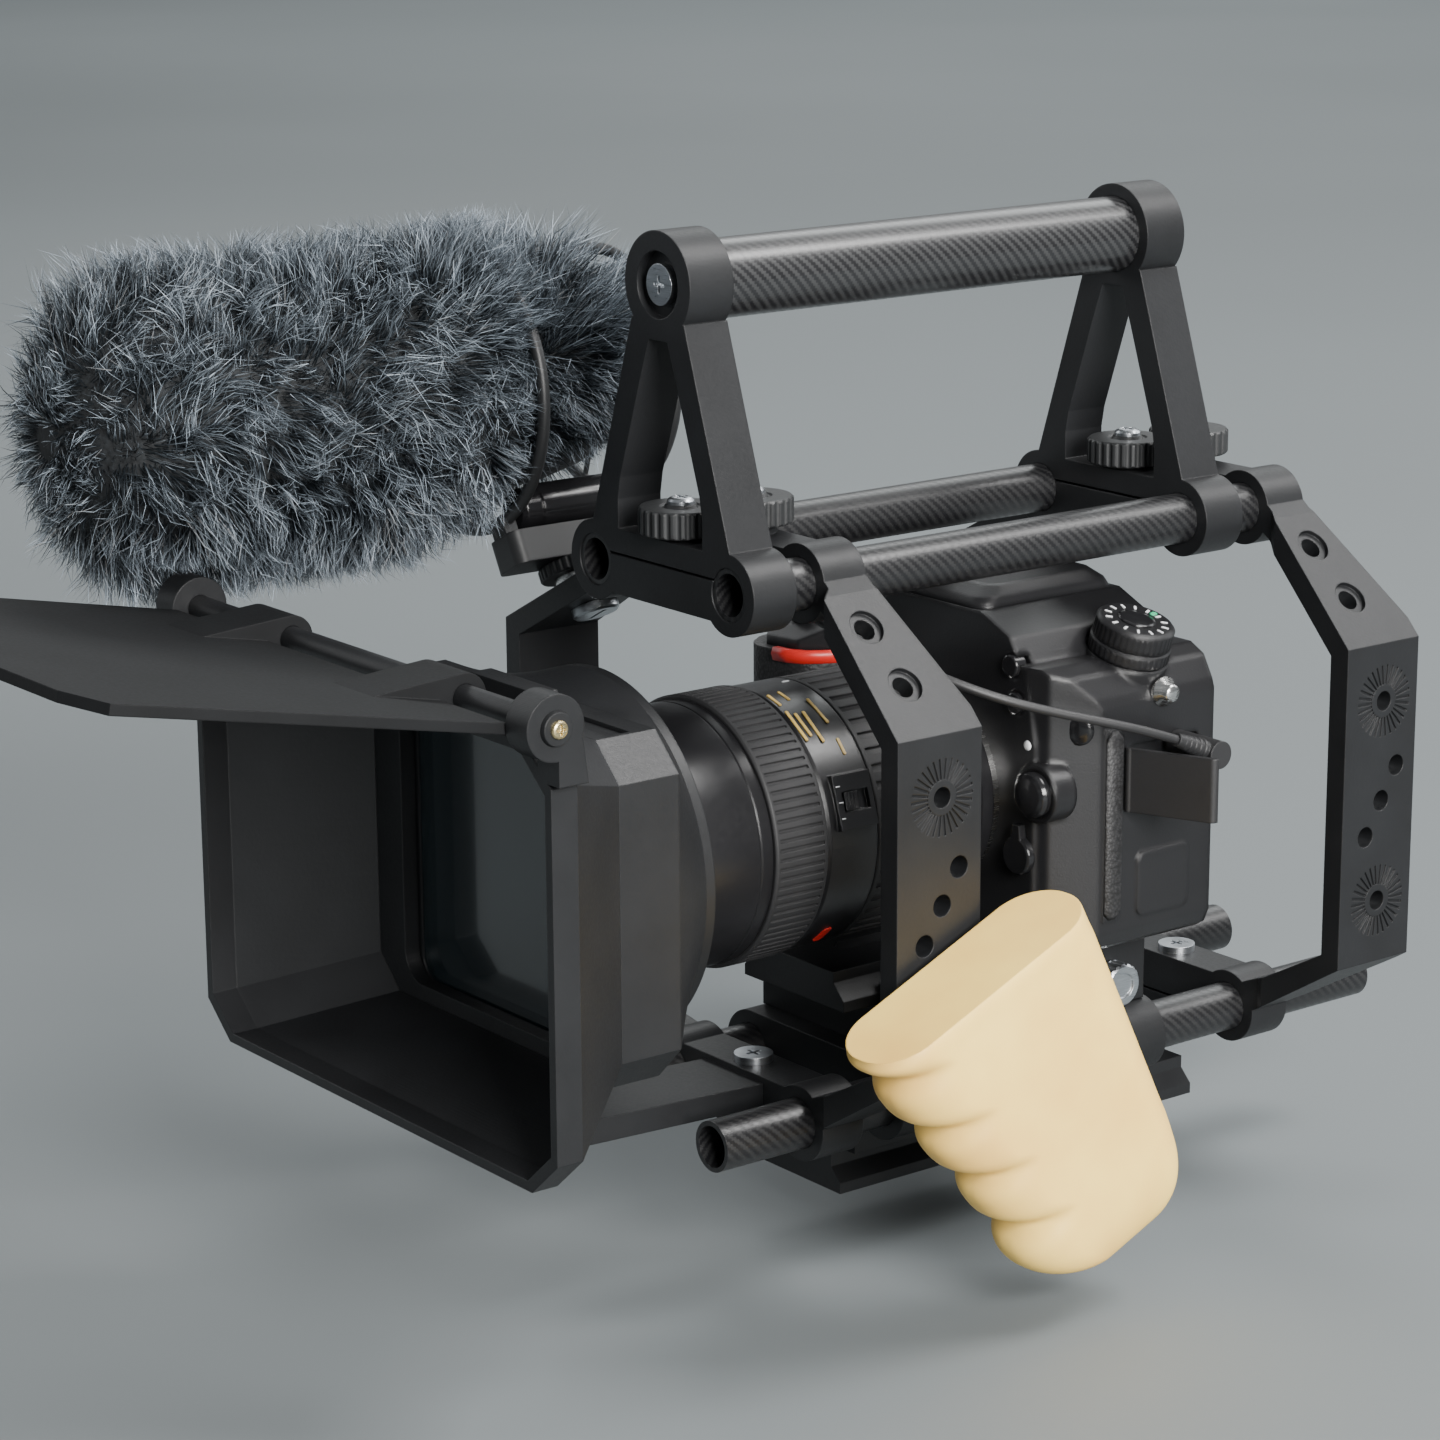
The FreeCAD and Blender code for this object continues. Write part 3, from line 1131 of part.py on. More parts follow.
for item in doc.Objects:
    wanted = item.TypeId == "PartDesign::Body" or item.Label == "mic_cable"
    if not wanted:
        continue
    shape = item.Shape
    if shape.isNull() or not shape.isValid():
        raise RuntimeError("bad shape: " + item.Label)
    box_now = shape.BoundBox
    print("%-24s solids %d vol %.0f  X %.1f %.1f  Y %.1f %.1f  Z %.1f %.1f" % (
        item.Label, len(shape.Solids), shape.Volume, box_now.XMin, box_now.XMax,
        box_now.YMin, box_now.YMax, box_now.ZMin, box_now.ZMax,
    ))
    shape.exportStep("parts/%s.step" % item.Label)
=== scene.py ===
import math
import random

import bmesh
import bpy
from mathutils import Matrix, Vector, noise


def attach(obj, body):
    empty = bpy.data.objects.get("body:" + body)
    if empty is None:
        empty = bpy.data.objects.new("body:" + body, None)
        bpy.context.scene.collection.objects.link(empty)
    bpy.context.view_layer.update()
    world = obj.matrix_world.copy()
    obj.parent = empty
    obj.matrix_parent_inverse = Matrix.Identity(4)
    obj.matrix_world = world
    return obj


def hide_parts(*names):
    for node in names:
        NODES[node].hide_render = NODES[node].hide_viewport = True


# Looks of the cinema camera rig.  Metres, in the CAD frame: the lens looks along -Y,
# +X is the side with the ports and the side grip, +Z is up.

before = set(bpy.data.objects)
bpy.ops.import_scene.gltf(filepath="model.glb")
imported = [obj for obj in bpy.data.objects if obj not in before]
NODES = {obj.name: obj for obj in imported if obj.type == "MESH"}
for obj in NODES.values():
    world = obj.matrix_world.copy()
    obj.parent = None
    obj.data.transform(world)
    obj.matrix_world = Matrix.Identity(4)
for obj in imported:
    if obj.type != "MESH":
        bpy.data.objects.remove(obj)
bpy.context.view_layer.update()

# Where the point midway between the front ends of the upper rods lies in the frame.
RIG_Y = -0.128
RIG_Z = 0.2025


def rig(x, y, z):
    """A point in millimetres from midway between the upper rods' front ends, in frame metres."""
    return Vector((x / 1000.0, y / 1000.0 + RIG_Y, z / 1000.0 + RIG_Z))


def show(name, data):
    """Put a new object that holds the data into the scene."""
    item = bpy.data.objects.new(name, data)
    bpy.context.scene.collection.objects.link(item)
    return item


# ---------------------------------------------------------------- camera

CAMERA_AZIMUTH = math.radians(52.71797)
CAMERA_ELEVATION = math.radians(14.36859)
CAMERA_ROLL = math.radians(-0.36525)
CAMERA_AT = (0.924373, -0.810102, 0.452483)
FOCAL_LENGTH = 98.374
SENSOR_WIDTH = 36.0
CLIP_END = 100.0


def place_camera():
    back = Vector((
        math.sin(CAMERA_AZIMUTH) * math.cos(CAMERA_ELEVATION),
        -math.cos(CAMERA_AZIMUTH) * math.cos(CAMERA_ELEVATION),
        math.sin(CAMERA_ELEVATION),
    ))
    right = Vector((math.cos(CAMERA_AZIMUTH), math.sin(CAMERA_AZIMUTH), 0.0))
    up = back.cross(right)
    across = right * math.cos(CAMERA_ROLL) + up * math.sin(CAMERA_ROLL)
    rise = up * math.cos(CAMERA_ROLL) - right * math.sin(CAMERA_ROLL)
    data = bpy.data.cameras.new("camera")
    data.sensor_width = SENSOR_WIDTH
    data.lens = FOCAL_LENGTH
    data.clip_end = CLIP_END
    camera = show("camera", data)
    turn = Matrix((across, rise, back)).transposed()
    camera.matrix_world = Matrix.Translation(CAMERA_AT) @ turn.to_4x4()
    bpy.context.scene.camera = camera


place_camera()


# ---------------------------------------------------------------- material nodes

class Shader:
    """A principled material with a few helpers for building its nodes."""

    def __init__(self, name, **sockets):
        self.material = bpy.data.materials.new(name)
        self.material.use_nodes = True
        self.nodes = self.material.node_tree.nodes
        self.links = self.material.node_tree.links
        self.bsdf = self.nodes["Principled BSDF"]
        self.coords = self.nodes.new("ShaderNodeTexCoord").outputs["Object"]
        for socket, value in sockets.items():
            self.bsdf.inputs[socket.replace("_", " ")].default_value = value

    def link(self, start, end):
        self.links.new(start, end)

    def node(self, kind, **settings):
        item = self.nodes.new("ShaderNode" + kind)
        for key, value in settings.items():
            setattr(item, key, value)
        return item

    def noise(self, scale, detail=4.0, stretch=None):
        source = self.coords
        if stretch:
            mapping = self.node("Mapping")
            mapping.inputs["Scale"].default_value = stretch
            self.link(source, mapping.inputs["Vector"])
            source = mapping.outputs["Vector"]
        item = self.node("TexNoise")
        item.inputs["Scale"].default_value = scale
        item.inputs["Detail"].default_value = detail
        self.link(source, item.inputs["Vector"])
        return item.outputs["Fac"]

    def math(self, operation, first, second=0.0):
        item = self.node("Math", operation=operation)
        for socket, value in zip(item.inputs, (first, second)):
            if isinstance(value, (int, float)):
                socket.default_value = value
            else:
                self.link(value, socket)
        return item.outputs[0]

    def color(self, factor, low, high, start, end):
        """Base colour from low to high as the factor goes from start to end."""
        item = self.node("ValToRGB")
        item.color_ramp.elements[0].position = start
        item.color_ramp.elements[1].position = end
        item.color_ramp.elements[0].color = (*low, 1.0)
        item.color_ramp.elements[1].color = (*high, 1.0)
        self.link(factor, item.inputs["Fac"])
        self.link(item.outputs["Color"], self.bsdf.inputs["Base Color"])

    def rough(self, factor, low, high):
        """Roughness from low to high as the factor goes from 0 to 1."""
        item = self.node("MapRange")
        item.inputs["To Min"].default_value = low
        item.inputs["To Max"].default_value = high
        self.link(factor, item.inputs["Value"])
        self.link(item.outputs["Result"], self.bsdf.inputs["Roughness"])

    def relief(self, heights, edge=0.0):
        """Stack bumps of (height output, strength, depth), over softened edges."""
        normal = None
        if edge:
            bevel = self.node("Bevel", samples=4)
            bevel.inputs["Radius"].default_value = edge
            normal = bevel.outputs["Normal"]
        for height, strength, depth in heights:
            bump = self.node("Bump")
            bump.inputs["Strength"].default_value = strength
            bump.inputs["Distance"].default_value = depth
            self.link(height, bump.inputs["Height"])
            if normal:
                self.link(normal, bump.inputs["Normal"])
            normal = bump.outputs["Normal"]
        self.link(normal, self.bsdf.inputs["Normal"])


def shade(tone, factor):
    """A colour made lighter or darker, held at 1."""
    return [min(1.0, value * factor) for value in tone]


LAYER_SCALE = 850.0
LAYER_WANDER = 0.4


def printed(name, tone, rough, layers=True, sheen=0.4):
    """Printed plastic: a matt skin with faint layer lines and slight mottling."""
    shader = Shader(name, Specular_IOR_Level=sheen)
    wide = shader.noise(38.0, 6.0)
    shader.color(wide, shade(tone, 0.82), shade(tone, 1.25), 0.3, 0.7)
    fine = shader.noise(900.0, 3.0)
    shader.rough(fine, rough - 0.07, rough + 0.08)
    heights = [(fine, 0.16, 0.0002)]
    if layers:
        lines = shader.node("TexWave", wave_type="BANDS", bands_direction="Z")
        lines.inputs["Scale"].default_value = LAYER_SCALE
        lines.inputs["Distortion"].default_value = LAYER_WANDER
        shader.link(shader.coords, lines.inputs["Vector"])
        heights.append((lines.outputs["Fac"], 0.1, 0.00008))
    shader.relief(heights, 0.0006)
    return shader.material


def pebbled(name, tone, rough, scale):
    """Pebbled rubber or leather: small raised cells, with painted shade darkening the gaps
    between them.
    """
    shader = Shader(name)
    cells = shader.node("TexVoronoi")
    cells.inputs["Scale"].default_value = scale
    shader.link(shader.coords, cells.inputs["Vector"])
    gap = cells.outputs["Distance"]
    # The colour runs from lighter cell middles to darker gaps: painted shade in the hollows
    # between the cells.
    shader.color(gap, shade(tone, 1.4), shade(tone, 0.55), 0.1, 0.75)
    shader.rough(shader.noise(320.0), rough - 0.08, rough + 0.08)
    shader.relief([(shader.math("SUBTRACT", 1.0, gap), 0.5, 0.0004)], 0.0008)
    return shader.material


BRUSHED = (1.0, 1.0, 30.0)


def metal(name, tone, rough):
    """Worked metal with fine brushed streaks."""
    shader = Shader(name, Metallic=1.0)
    streaks = shader.noise(160.0, 6.0, stretch=BRUSHED)
    shader.color(streaks, shade(tone, 0.72), tone, 0.3, 0.75)
    shader.rough(streaks, rough - 0.08, rough + 0.14)
    shader.relief([(streaks, 0.12, 0.0001)], 0.0003)
    return shader.material


# A tow is one flat bundle of fibres.  Two of every four lie on top, which makes a twill.
TOW_WIDTH = 0.0009
TWILL_REPEAT = 4.0
TWILL_ON_TOP = 1.5
WEAVE_SHARE = 0.62
GRAIN_SHARE = 0.38
ALONG_TUBE = (1.0, 0.08, 1.0)
CARBON_DARK = (0.005, 0.005, 0.006)


def carbon(name, axis_x, axis_z, radius, shine, pale):
    """Twill carbon weave wrapped on a tube along Y, under clear coat."""
    shader = Shader(name, Coat_Weight=shine, Coat_Roughness=0.34 - 0.26 * shine)
    split = shader.node("SeparateXYZ")
    shader.link(shader.coords, split.inputs[0])
    x_off = shader.math("SUBTRACT", split.outputs["X"], axis_x)
    z_off = shader.math("SUBTRACT", split.outputs["Z"], axis_z)
    round_way = shader.math("MULTIPLY", shader.math("ARCTAN2", z_off, x_off), radius)
    column = shader.math("FLOOR", shader.math("DIVIDE", round_way, TOW_WIDTH))
    row = shader.math("FLOOR", shader.math("DIVIDE", split.outputs["Y"], TOW_WIDTH))
    step = shader.math("FLOORED_MODULO", shader.math("ADD", column, row), TWILL_REPEAT)
    over = shader.math("LESS_THAN", step, TWILL_ON_TOP)
    run = shader.math("FRACT", shader.math("DIVIDE", round_way, TOW_WIDTH))
    lift = shader.math("SINE", shader.math("MULTIPLY", run, math.pi))
    grain = shader.noise(1400.0, 2.0, stretch=ALONG_TUBE)
    mix = shader.math(
        "ADD",
        shader.math("MULTIPLY", over, WEAVE_SHARE),
        shader.math("MULTIPLY", grain, GRAIN_SHARE),
    )
    shader.color(mix, CARBON_DARK, (pale, pale * 1.02, pale * 1.06), 0.1, 0.9)
    shader.rough(over, 0.34, 0.44)
    shader.relief([(shader.math("MULTIPLY", lift, over), 0.2, 0.00006)])
    return shader.material


def satin(name, tone, rough, scale=520.0, depth=0.00012, edge=0.0007):
    """Fine satin moulding: the grain's scale and depth, and how soft the edges are."""
    shader = Shader(name)
    fine = shader.noise(scale, 4.0)
    wide = shader.noise(26.0, 3.0)
    shader.color(wide, shade(tone, 0.85), shade(tone, 1.12), 0.3, 0.7)
    shader.rough(fine, rough - 0.05, rough + 0.08)
    shader.relief([(fine, 0.2, depth)], edge)
    return shader.material


def filter_pane():
    """Tinted glass that shows the lens faintly, with a slight smear."""
    shader = Shader(
        "filter_pane", Transmission_Weight=0.55, IOR=1.5, Coat_Weight=0.5, Coat_Roughness=0.03,
    )
    smear = shader.noise(9.0, 5.0)
    shader.color(smear, (0.020, 0.034, 0.040), (0.034, 0.052, 0.060), 0.3, 0.7)
    shader.rough(smear, 0.05, 0.16)
    return shader.material


def lens_glass():
    """Dark coated glass with a green to violet tint."""
    shader = Shader("lens_element", IOR=1.55, Coat_Weight=1.0, Coat_Roughness=0.02)
    tint = shader.noise(6.0, 2.0)
    shader.color(tint, (0.006, 0.012, 0.012), (0.016, 0.01, 0.026), 0.35, 0.65)
    shader.rough(tint, 0.02, 0.06)
    return shader.material


def fur_material():
    """Strand colour from its own tone, darker at the root and pale at some tips."""
    shader = Shader("windscreen_fur")
    tone = shader.node("Attribute", attribute_name="tone").outputs["Fac"]
    shader.color(tone, (0.006, 0.009, 0.012), (0.44, 0.52, 0.60), 0.10, 0.92)
    shader.rough(tone, 0.42, 0.62)
    shader.relief([(shader.noise(700.0, 2.0), 0.1, 0.0001)])
    return shader.material


LOOKS = {
    "plastic": printed("printed_plastic", (0.0085, 0.009, 0.010), 0.46),
    "flag": printed("flag_plastic", (0.0050, 0.0054, 0.0060), 0.62, layers=False, sheen=0.2),
    "knob": satin("knob_plastic", (0.017, 0.018, 0.019), 0.42),
    "zinc": metal("zinc_steel", (0.62, 0.65, 0.68), 0.28),
    "bright": metal("bright_metal", (0.74, 0.74, 0.73), 0.22),
    "brass": metal("turned_brass", (0.80, 0.66, 0.36), 0.24),
    "lens": satin("lens_satin", (0.008, 0.008, 0.009), 0.30),
    "ribs": satin("lens_rubber", (0.010, 0.010, 0.011), 0.55, 900.0, 0.0002),
    "shell": satin("camera_shell", (0.009, 0.009, 0.010), 0.32, 1500.0, 0.00022, 0.0026),
    "leather": pebbled("camera_leather", (0.017, 0.017, 0.018), 0.58, 900.0),
    "rubber": satin("soft_rubber", (0.011, 0.011, 0.012), 0.50, 700.0, 0.0002),
    "gloss": satin("gloss_black", (0.010, 0.010, 0.011), 0.16, 300.0, 0.00003),
    "screen": satin("screen_glass", (0.012, 0.013, 0.018), 0.10, 60.0, 0.00001),
    "jacket": satin("cable_jacket", (0.013, 0.013, 0.014), 0.48, 900.0, 0.0001),
    "grip": satin("cream_plastic", (1.0, 0.62, 0.16), 0.42, 420.0, 0.00006),
    "white": satin("white_mark", (0.72, 0.73, 0.74), 0.5, 500.0, 0.00002),
    "gold": satin("gold_mark", (0.62, 0.42, 0.11), 0.4, 500.0, 0.00002),
    "red": satin("red_trim", (0.55, 0.02, 0.015), 0.34, 300.0, 0.00003),
    "green": satin("green_mark", (0.03, 0.42, 0.20), 0.4, 300.0, 0.00002),
    "pane": filter_pane(),
    "element": lens_glass(),
    "fur": fur_material(),
    "foam": pebbled("fur_backing", (0.009, 0.011, 0.013), 0.8, 500.0),
}

NODE_LOOKS = {
    "plastic": (
        "front_handle_frame", "rear_handle_frame", "front_cage_frame", "rear_cage_frame",
        "rod_base", "riser_block", "quick_release_plate", "dovetail_plate", "matte_box_hood",
        "matte_box_stage", "filter_tray", "matte_box_adapter", "matte_box_bracket", "flag_rod",
    ),
    "flag": ("flag_panel",),
    "knob": (
        "front_handle_knob", "front_cage_knob", "rear_handle_knob", "rear_cage_knob",
        "mic_lock_ring", "mic_saddle", "mic_hoops", "mic_barrel",
    ),
    "zinc": ("frame_screws", "plate_lock_knob", "mic_mount_bolt", "grip_bolt"),
    "bright": ("lens_mount_ring", "mic_shoe"),
    "lens": ("lens_front_barrel", "lens_name_barrel", "lens_rear_barrel"),
    "ribs": ("lens_focus_ring", "lens_zoom_ring"),
    "shell": ("camera_body", "camera_prism", "release_mode_ring", "mode_dial"),
    "leather": ("camera_hand_grip",),
    "rubber": ("port_door", "eyecup"),
    "gloss": (
        "focus_mode_switch", "shutter_button", "flash_button", "bracket_button",
        "lens_release_button", "focus_mode_lever", "mic_power_tube",
    ),
    "screen": ("rear_screen",),
    "jacket": ("mic_plug",),
    "grip": ("finger_grip",),
    "pane": ("filter_glass",),
    "element": ("lens_front_glass",),
}

# Each tube's axis and radius, and how glossy its coat and how pale its weave are.
UPPER_ROD_X = 0.0333
LOWER_ROD_X = 0.03265
LOWER_ROD_Z = RIG_Z - 0.1694
HANDLE_Z = RIG_Z + 0.0875
ROD_SKIN = (0.008, 0.2, 0.014)
HANDLE_SKIN = (0.012, 0.5, 0.026)
TUBES = {
    "upper_rod_left": (-UPPER_ROD_X, RIG_Z, *ROD_SKIN),
    "upper_rod_right": (UPPER_ROD_X, RIG_Z, *ROD_SKIN),
    "lower_rod_left": (-LOWER_ROD_X, LOWER_ROD_Z, *ROD_SKIN),
    "lower_rod_right": (LOWER_ROD_X, LOWER_ROD_Z, *ROD_SKIN),
    "handle_tube": (0.0, HANDLE_Z, *HANDLE_SKIN),
}


def dress(node, material):
    """Give a CAD node one material on every slot."""
    for slot in NODES[node].material_slots:
        slot.material = material


for look, names in NODE_LOOKS.items():
    for name in names:
        dress(name, LOOKS[look])
for name, tube in TUBES.items():
    dress(name, carbon("carbon_" + name, *tube))


# ---------------------------------------------------------------- shapes

def add_mesh(name, mesh_data, material, body, smooth=True):
    """Turn a bmesh into a piece that rides on a body."""
    mesh = bpy.data.meshes.new(name)
    mesh_data.to_mesh(mesh)
    mesh_data.free()
    mesh.materials.append(material)
    for face in mesh.polygons:
        face.use_smooth = smooth
    piece = show(name, mesh)
    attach(piece, body)
    return piece


def facing(axis, at):
    """A frame with Z along an axis, at a point."""
    swing = Vector((0, 0, 1)).rotation_difference(Vector(axis))
    return Matrix.Translation(at) @ swing.to_matrix().to_4x4()


def turns(steps):
    """Angles spread evenly over one full turn."""
    return [2.0 * math.pi * k / steps for k in range(steps)]


def skin(mesh, rings):
    """Join rings of vertices with faces and close the two ends."""
    for low, high in zip(rings, rings[1:]):
        for k in range(len(low)):
            after = (k + 1) % len(low)
            mesh.faces.new((low[k], low[after], high[after], high[k]))
    mesh.faces.new(rings[-1])
    mesh.faces.new(list(reversed(rings[0])))


def turned(mesh, profile, place, steps=40):
    """Revolve (radius, height) points about a frame's Z."""
    skin(mesh, [
        [
            mesh.verts.new(
                place @ Vector((radius * math.cos(turn), radius * math.sin(turn), height))
            )
            for turn in turns(steps)
        ]
        for radius, height in profile
    ])


SLAB_TAPER = 0.96


def slab(mesh, place, size, corner=0.25):
    """A thin block with clipped corners, centred on a frame's origin and standing on it."""
    wide, tall, thick = size
    clip = corner * min(wide, tall)
    a, b = wide / 2.0, tall / 2.0
    outline = (
        (-a + clip, -b), (a - clip, -b), (a, -b + clip), (a, b - clip),
        (a - clip, b), (-a + clip, b), (-a, b - clip), (-a, -b + clip),
    )
    skin(mesh, [
        [mesh.verts.new(place @ Vector((u * taper, v * taper, rise))) for u, v in outline]
        for taper, rise in ((1.0, 0.0), (SLAB_TAPER, thick))
    ])


# ---------------------------------------------------------------- screws

# A pan head's profile and its cross recess, in shares of the head's radius.
SCREW_PROFILE = (
    (1.0, 0.0), (1.0, 0.25), (0.88, 0.42), (0.70, 0.50), (0.62, 0.51),
    (0.54, 0.515), (0.46, 0.52), (0.36, 0.52), (0.26, 0.52), (0.14, 0.52),
)
SCREW_STEPS = 48
CROSS_REACH = 0.6
CROSS_HALF_WIDTH = 0.13
CROSS_DEPTH = 0.26


def cross_screw(name, at, axis, radius, look, body):
    """A pan head screw with a cross recess sunk into its top."""
    mesh = bmesh.new()
    place = facing(axis, at)
    rings = []
    for share, height in SCREW_PROFILE:
        ring = []
        for turn in turns(SCREW_STEPS):
            u, v = share * math.cos(turn), share * math.sin(turn)
            in_cross = share < CROSS_REACH and min(abs(u), abs(v)) < CROSS_HALF_WIDTH
            lift = height - (CROSS_DEPTH if in_cross else 0.0)
            ring.append(mesh.verts.new(place @ Vector((u * radius, v * radius, lift * radius))))
        rings.append(ring)
    skin(mesh, rings)
    add_mesh(name, mesh, LOOKS[look], body, smooth=False)


KNOB_TOP = 21.3
KNOB_Y = {
    "front_handle_knob": 7.5,
    "front_cage_knob": 34.0,
    "rear_handle_knob": 189.0,
    "rear_cage_knob": 216.5,
}
for knob, y in KNOB_Y.items():
    cross_screw(
        knob + "_cap", rig(0.0, y, KNOB_TOP), (0, 0, 1), 0.0042, "zinc", knob + "_body",
    )
cross_screw(
    "flag_rod_screw", rig(99.3, -107.5, -9.7), (1, 0, 0), 0.0026, "brass", "rig",
)


# ---------------------------------------------------------------- marks on the lens

LENS_AXIS_Z = -81.1


def lens_marks(name, look, body, rows):
    """Small raised marks on the lens: degrees from +X, Y in mm, radius and size in metres."""
    mesh = bmesh.new()
    along = Vector((0, 1, 0))
    for degrees, y, radius, size in rows:
        angle = math.radians(degrees)
        way = Vector((math.cos(angle), 0.0, math.sin(angle)))
        turn = Matrix((way.cross(along), along, way)).transposed()
        centre = rig(0.0, y, LENS_AXIS_Z) + way * radius
        slab(mesh, Matrix.Translation(centre) @ turn.to_4x4(), size)
    add_mesh(name, mesh, LOOKS[look], body, smooth=False)


SWITCH_ANGLE = 18.5
GOLD_BARS = (
    (56.0, 32.9, 0.0130), (56.0, 35.4, 0.0100), (54.0, 38.4, 0.0130),
    (74.0, 33.6, 0.0070), (76.0, 38.4, 0.0060), (42.0, 44.0, 0.0060), (62.0, 44.0, 0.0120),
)

lens_marks("lens_gold_bars", "gold", "rig", [
    (angle, y, 0.04152, (wide, 0.0011, 0.0003)) for angle, y, wide in GOLD_BARS
])
lens_marks("lens_red_accent", "red", "rig", [
    (-50.0, 40.0, 0.04150, (0.0090, 0.0032, 0.0004)),
])
lens_marks("lens_white_ticks", "white", "rig", [
    (SWITCH_ANGLE + offset, 36.0, 0.0431, (0.0004, 0.0016, 0.0002))
    for offset in (-6.5, 0.0, 6.5)
] + [(90.0, 47.0, 0.04155, (0.0008, 0.0028, 0.0003))])
lens_marks("zoom_ring_ticks", "white", "zoom", [
    (angle, 51.2, 0.0412, (0.0005, 0.0010, 0.0003)) for angle in (46.0, 58.0, 70.0, 82.0, 96.0)
])


# ---------------------------------------------------------------- camera details

# Name, look, slot, the way it faces, its place in mm, steps, and (radius, height) in metres.
TURNED_DETAILS = (
    (
        "mount_index_dot", "white", "camera_shell", (0, -1, 0), (45.0, 107.0, -60.5), 24,
        ((0.0016, 0.0), (0.0016, 0.0003), (0.0009, 0.0006)),
    ),
    (
        "sensor_window", "gloss", "button_black", (0.55, -0.83, 0.0), (56.6, 117.8, -55.0), 32,
        ((0.0048, 0.0), (0.0048, 0.0006), (0.0036, 0.0013), (0.0015, 0.0016)),
    ),
    (
        "strap_lug", "bright", "lens_metal", (1, 0, 0), (59.4, 150.0, -47.0), 40,
        ((0.0048, 0.0), (0.0048, 0.0012), (0.0030, 0.0022), (0.0030, 0.0046), (0.0022, 0.0052)),
    ),
)
TRIM_PATH = ((-47.2, 108.1), (-49.6, 102.6), (-53.0, 97.4), (-58.0, 94.2), (-64.0, 93.2))
TRIM_Z = -49.0
TRIM_SECTION = (
    (-0.0010, -0.0024), (-0.0017, 0.0), (-0.0010, 0.0020), (0.0012, 0.0020), (0.0012, -0.0024),
)


def camera_details():
    """The lens index, the sensor window, the strap lug and the two strips on the body."""
    for name, look, slot, axis, at, steps, profile in TURNED_DETAILS:
        mesh = bmesh.new()
        turned(mesh, profile, facing(axis, rig(*at)), steps)
        add_mesh(name, mesh, LOOKS[look], "rig")

    trim = bmesh.new()
    skin(trim, [
        [trim.verts.new(rig(x, y, TRIM_Z) + Vector((0, dy, dz))) for dy, dz in TRIM_SECTION]
        for x, y in TRIM_PATH
    ])
    add_mesh("hand_grip_trim", trim, LOOKS["red"], "rig")

    strip = bmesh.new()
    place = Matrix.Translation(rig(60.6, 129.1, -87.0)) @ Matrix.Rotation(math.pi / 2, 4, "Y")
    slab(strip, place, (0.0610, 0.0070, 0.0006), 0.3)
    add_mesh("side_leather", strip, LOOKS["leather"], "rig")


camera_details()


DIAL_AXIS = Vector((0.28, 0.05, 0.959)).normalized()
DIAL_CENTRE = (47.5, 146.0, -36.5)
DIAL_TOP = 0.0118
DIAL_STEPS = 14
DIAL_REACH = 0.0092
# Name, look, how many, size, and the angle of the first.
DIAL_MARKS = (
    ("dial_ticks", "white", DIAL_STEPS, (0.0009, 0.0024, 0.0002), 0.0),
    ("dial_green_mark", "green", 1, (0.0018, 0.0028, 0.0003), 0.22),
)


def dial_marks():
    """Generic ticks round the top face of the mode dial, and its hub."""
    place = facing(DIAL_AXIS, rig(*DIAL_CENTRE) + DIAL_AXIS * DIAL_TOP)
    outward = Matrix.Translation((0.0, DIAL_REACH, 0.0))
    for name, look, count, size, start in DIAL_MARKS:
        mesh = bmesh.new()
        for turn in turns(DIAL_STEPS)[:count]:
            slab(mesh, place @ Matrix.Rotation(start + turn, 4, "Z") @ outward, size)
        add_mesh(name, mesh, LOOKS[look], "dial", smooth=False)
    hub = bmesh.new()
    turned(hub, ((0.0060, 0.0), (0.0060, 0.0004), (0.0048, 0.0006)), place)
    add_mesh("dial_hub", hub, LOOKS["gloss"], "dial")


dial_marks()


# ---------------------------------------------------------------- microphone cable

CABLE_ROUTE = (
    (-95.3, 70.2, -10.0), (-95.0, 80.5, -10.6), (-87.0, 91.0, -12.4), (-73.0, 93.0, -15.0),
    (-58.0, 86.0, -18.0), (-42.0, 75.5, -20.5), (-24.0, 67.5, -22.2), (-4.0, 62.5, -23.0),
    (17.0, 60.5, -24.6), (36.0, 62.5, -28.0), (51.5, 70.5, -33.5), (60.5, 83.0, -39.2),
    (66.0, 98.0, -44.2), (71.0, 114.0, -48.8), (74.6, 129.0, -53.4), (76.0, 140.4, -57.7),
)
CABLE_RADIUS = 0.0015

PLUG_AT = (76.0, 156.0, -64.5)
BOOT_RIBS = 5
BOOT_START = 0.0058
BOOT_SPACING = 0.0021
BOOT_RADIUS = 0.00345
BOOT_TAPER = 0.00022
RIB_HALF = 0.0006


def strain_relief_ribs():
    """Rings along the boot where the cable enters the plug."""
    start = rig(*PLUG_AT)
    way = (rig(*CABLE_ROUTE[-1]) - start).normalized()
    mesh = bmesh.new()
    for k in range(BOOT_RIBS):
        radius = BOOT_RADIUS - BOOT_TAPER * k
        profile = ((radius - RIB_HALF, -RIB_HALF), (radius, 0.0), (radius - RIB_HALF, RIB_HALF))
        turned(mesh, profile, facing(way, start + way * (BOOT_START + BOOT_SPACING * k)), 24)
    add_mesh("plug_boot_ribs", mesh, LOOKS["jacket"], "rig")


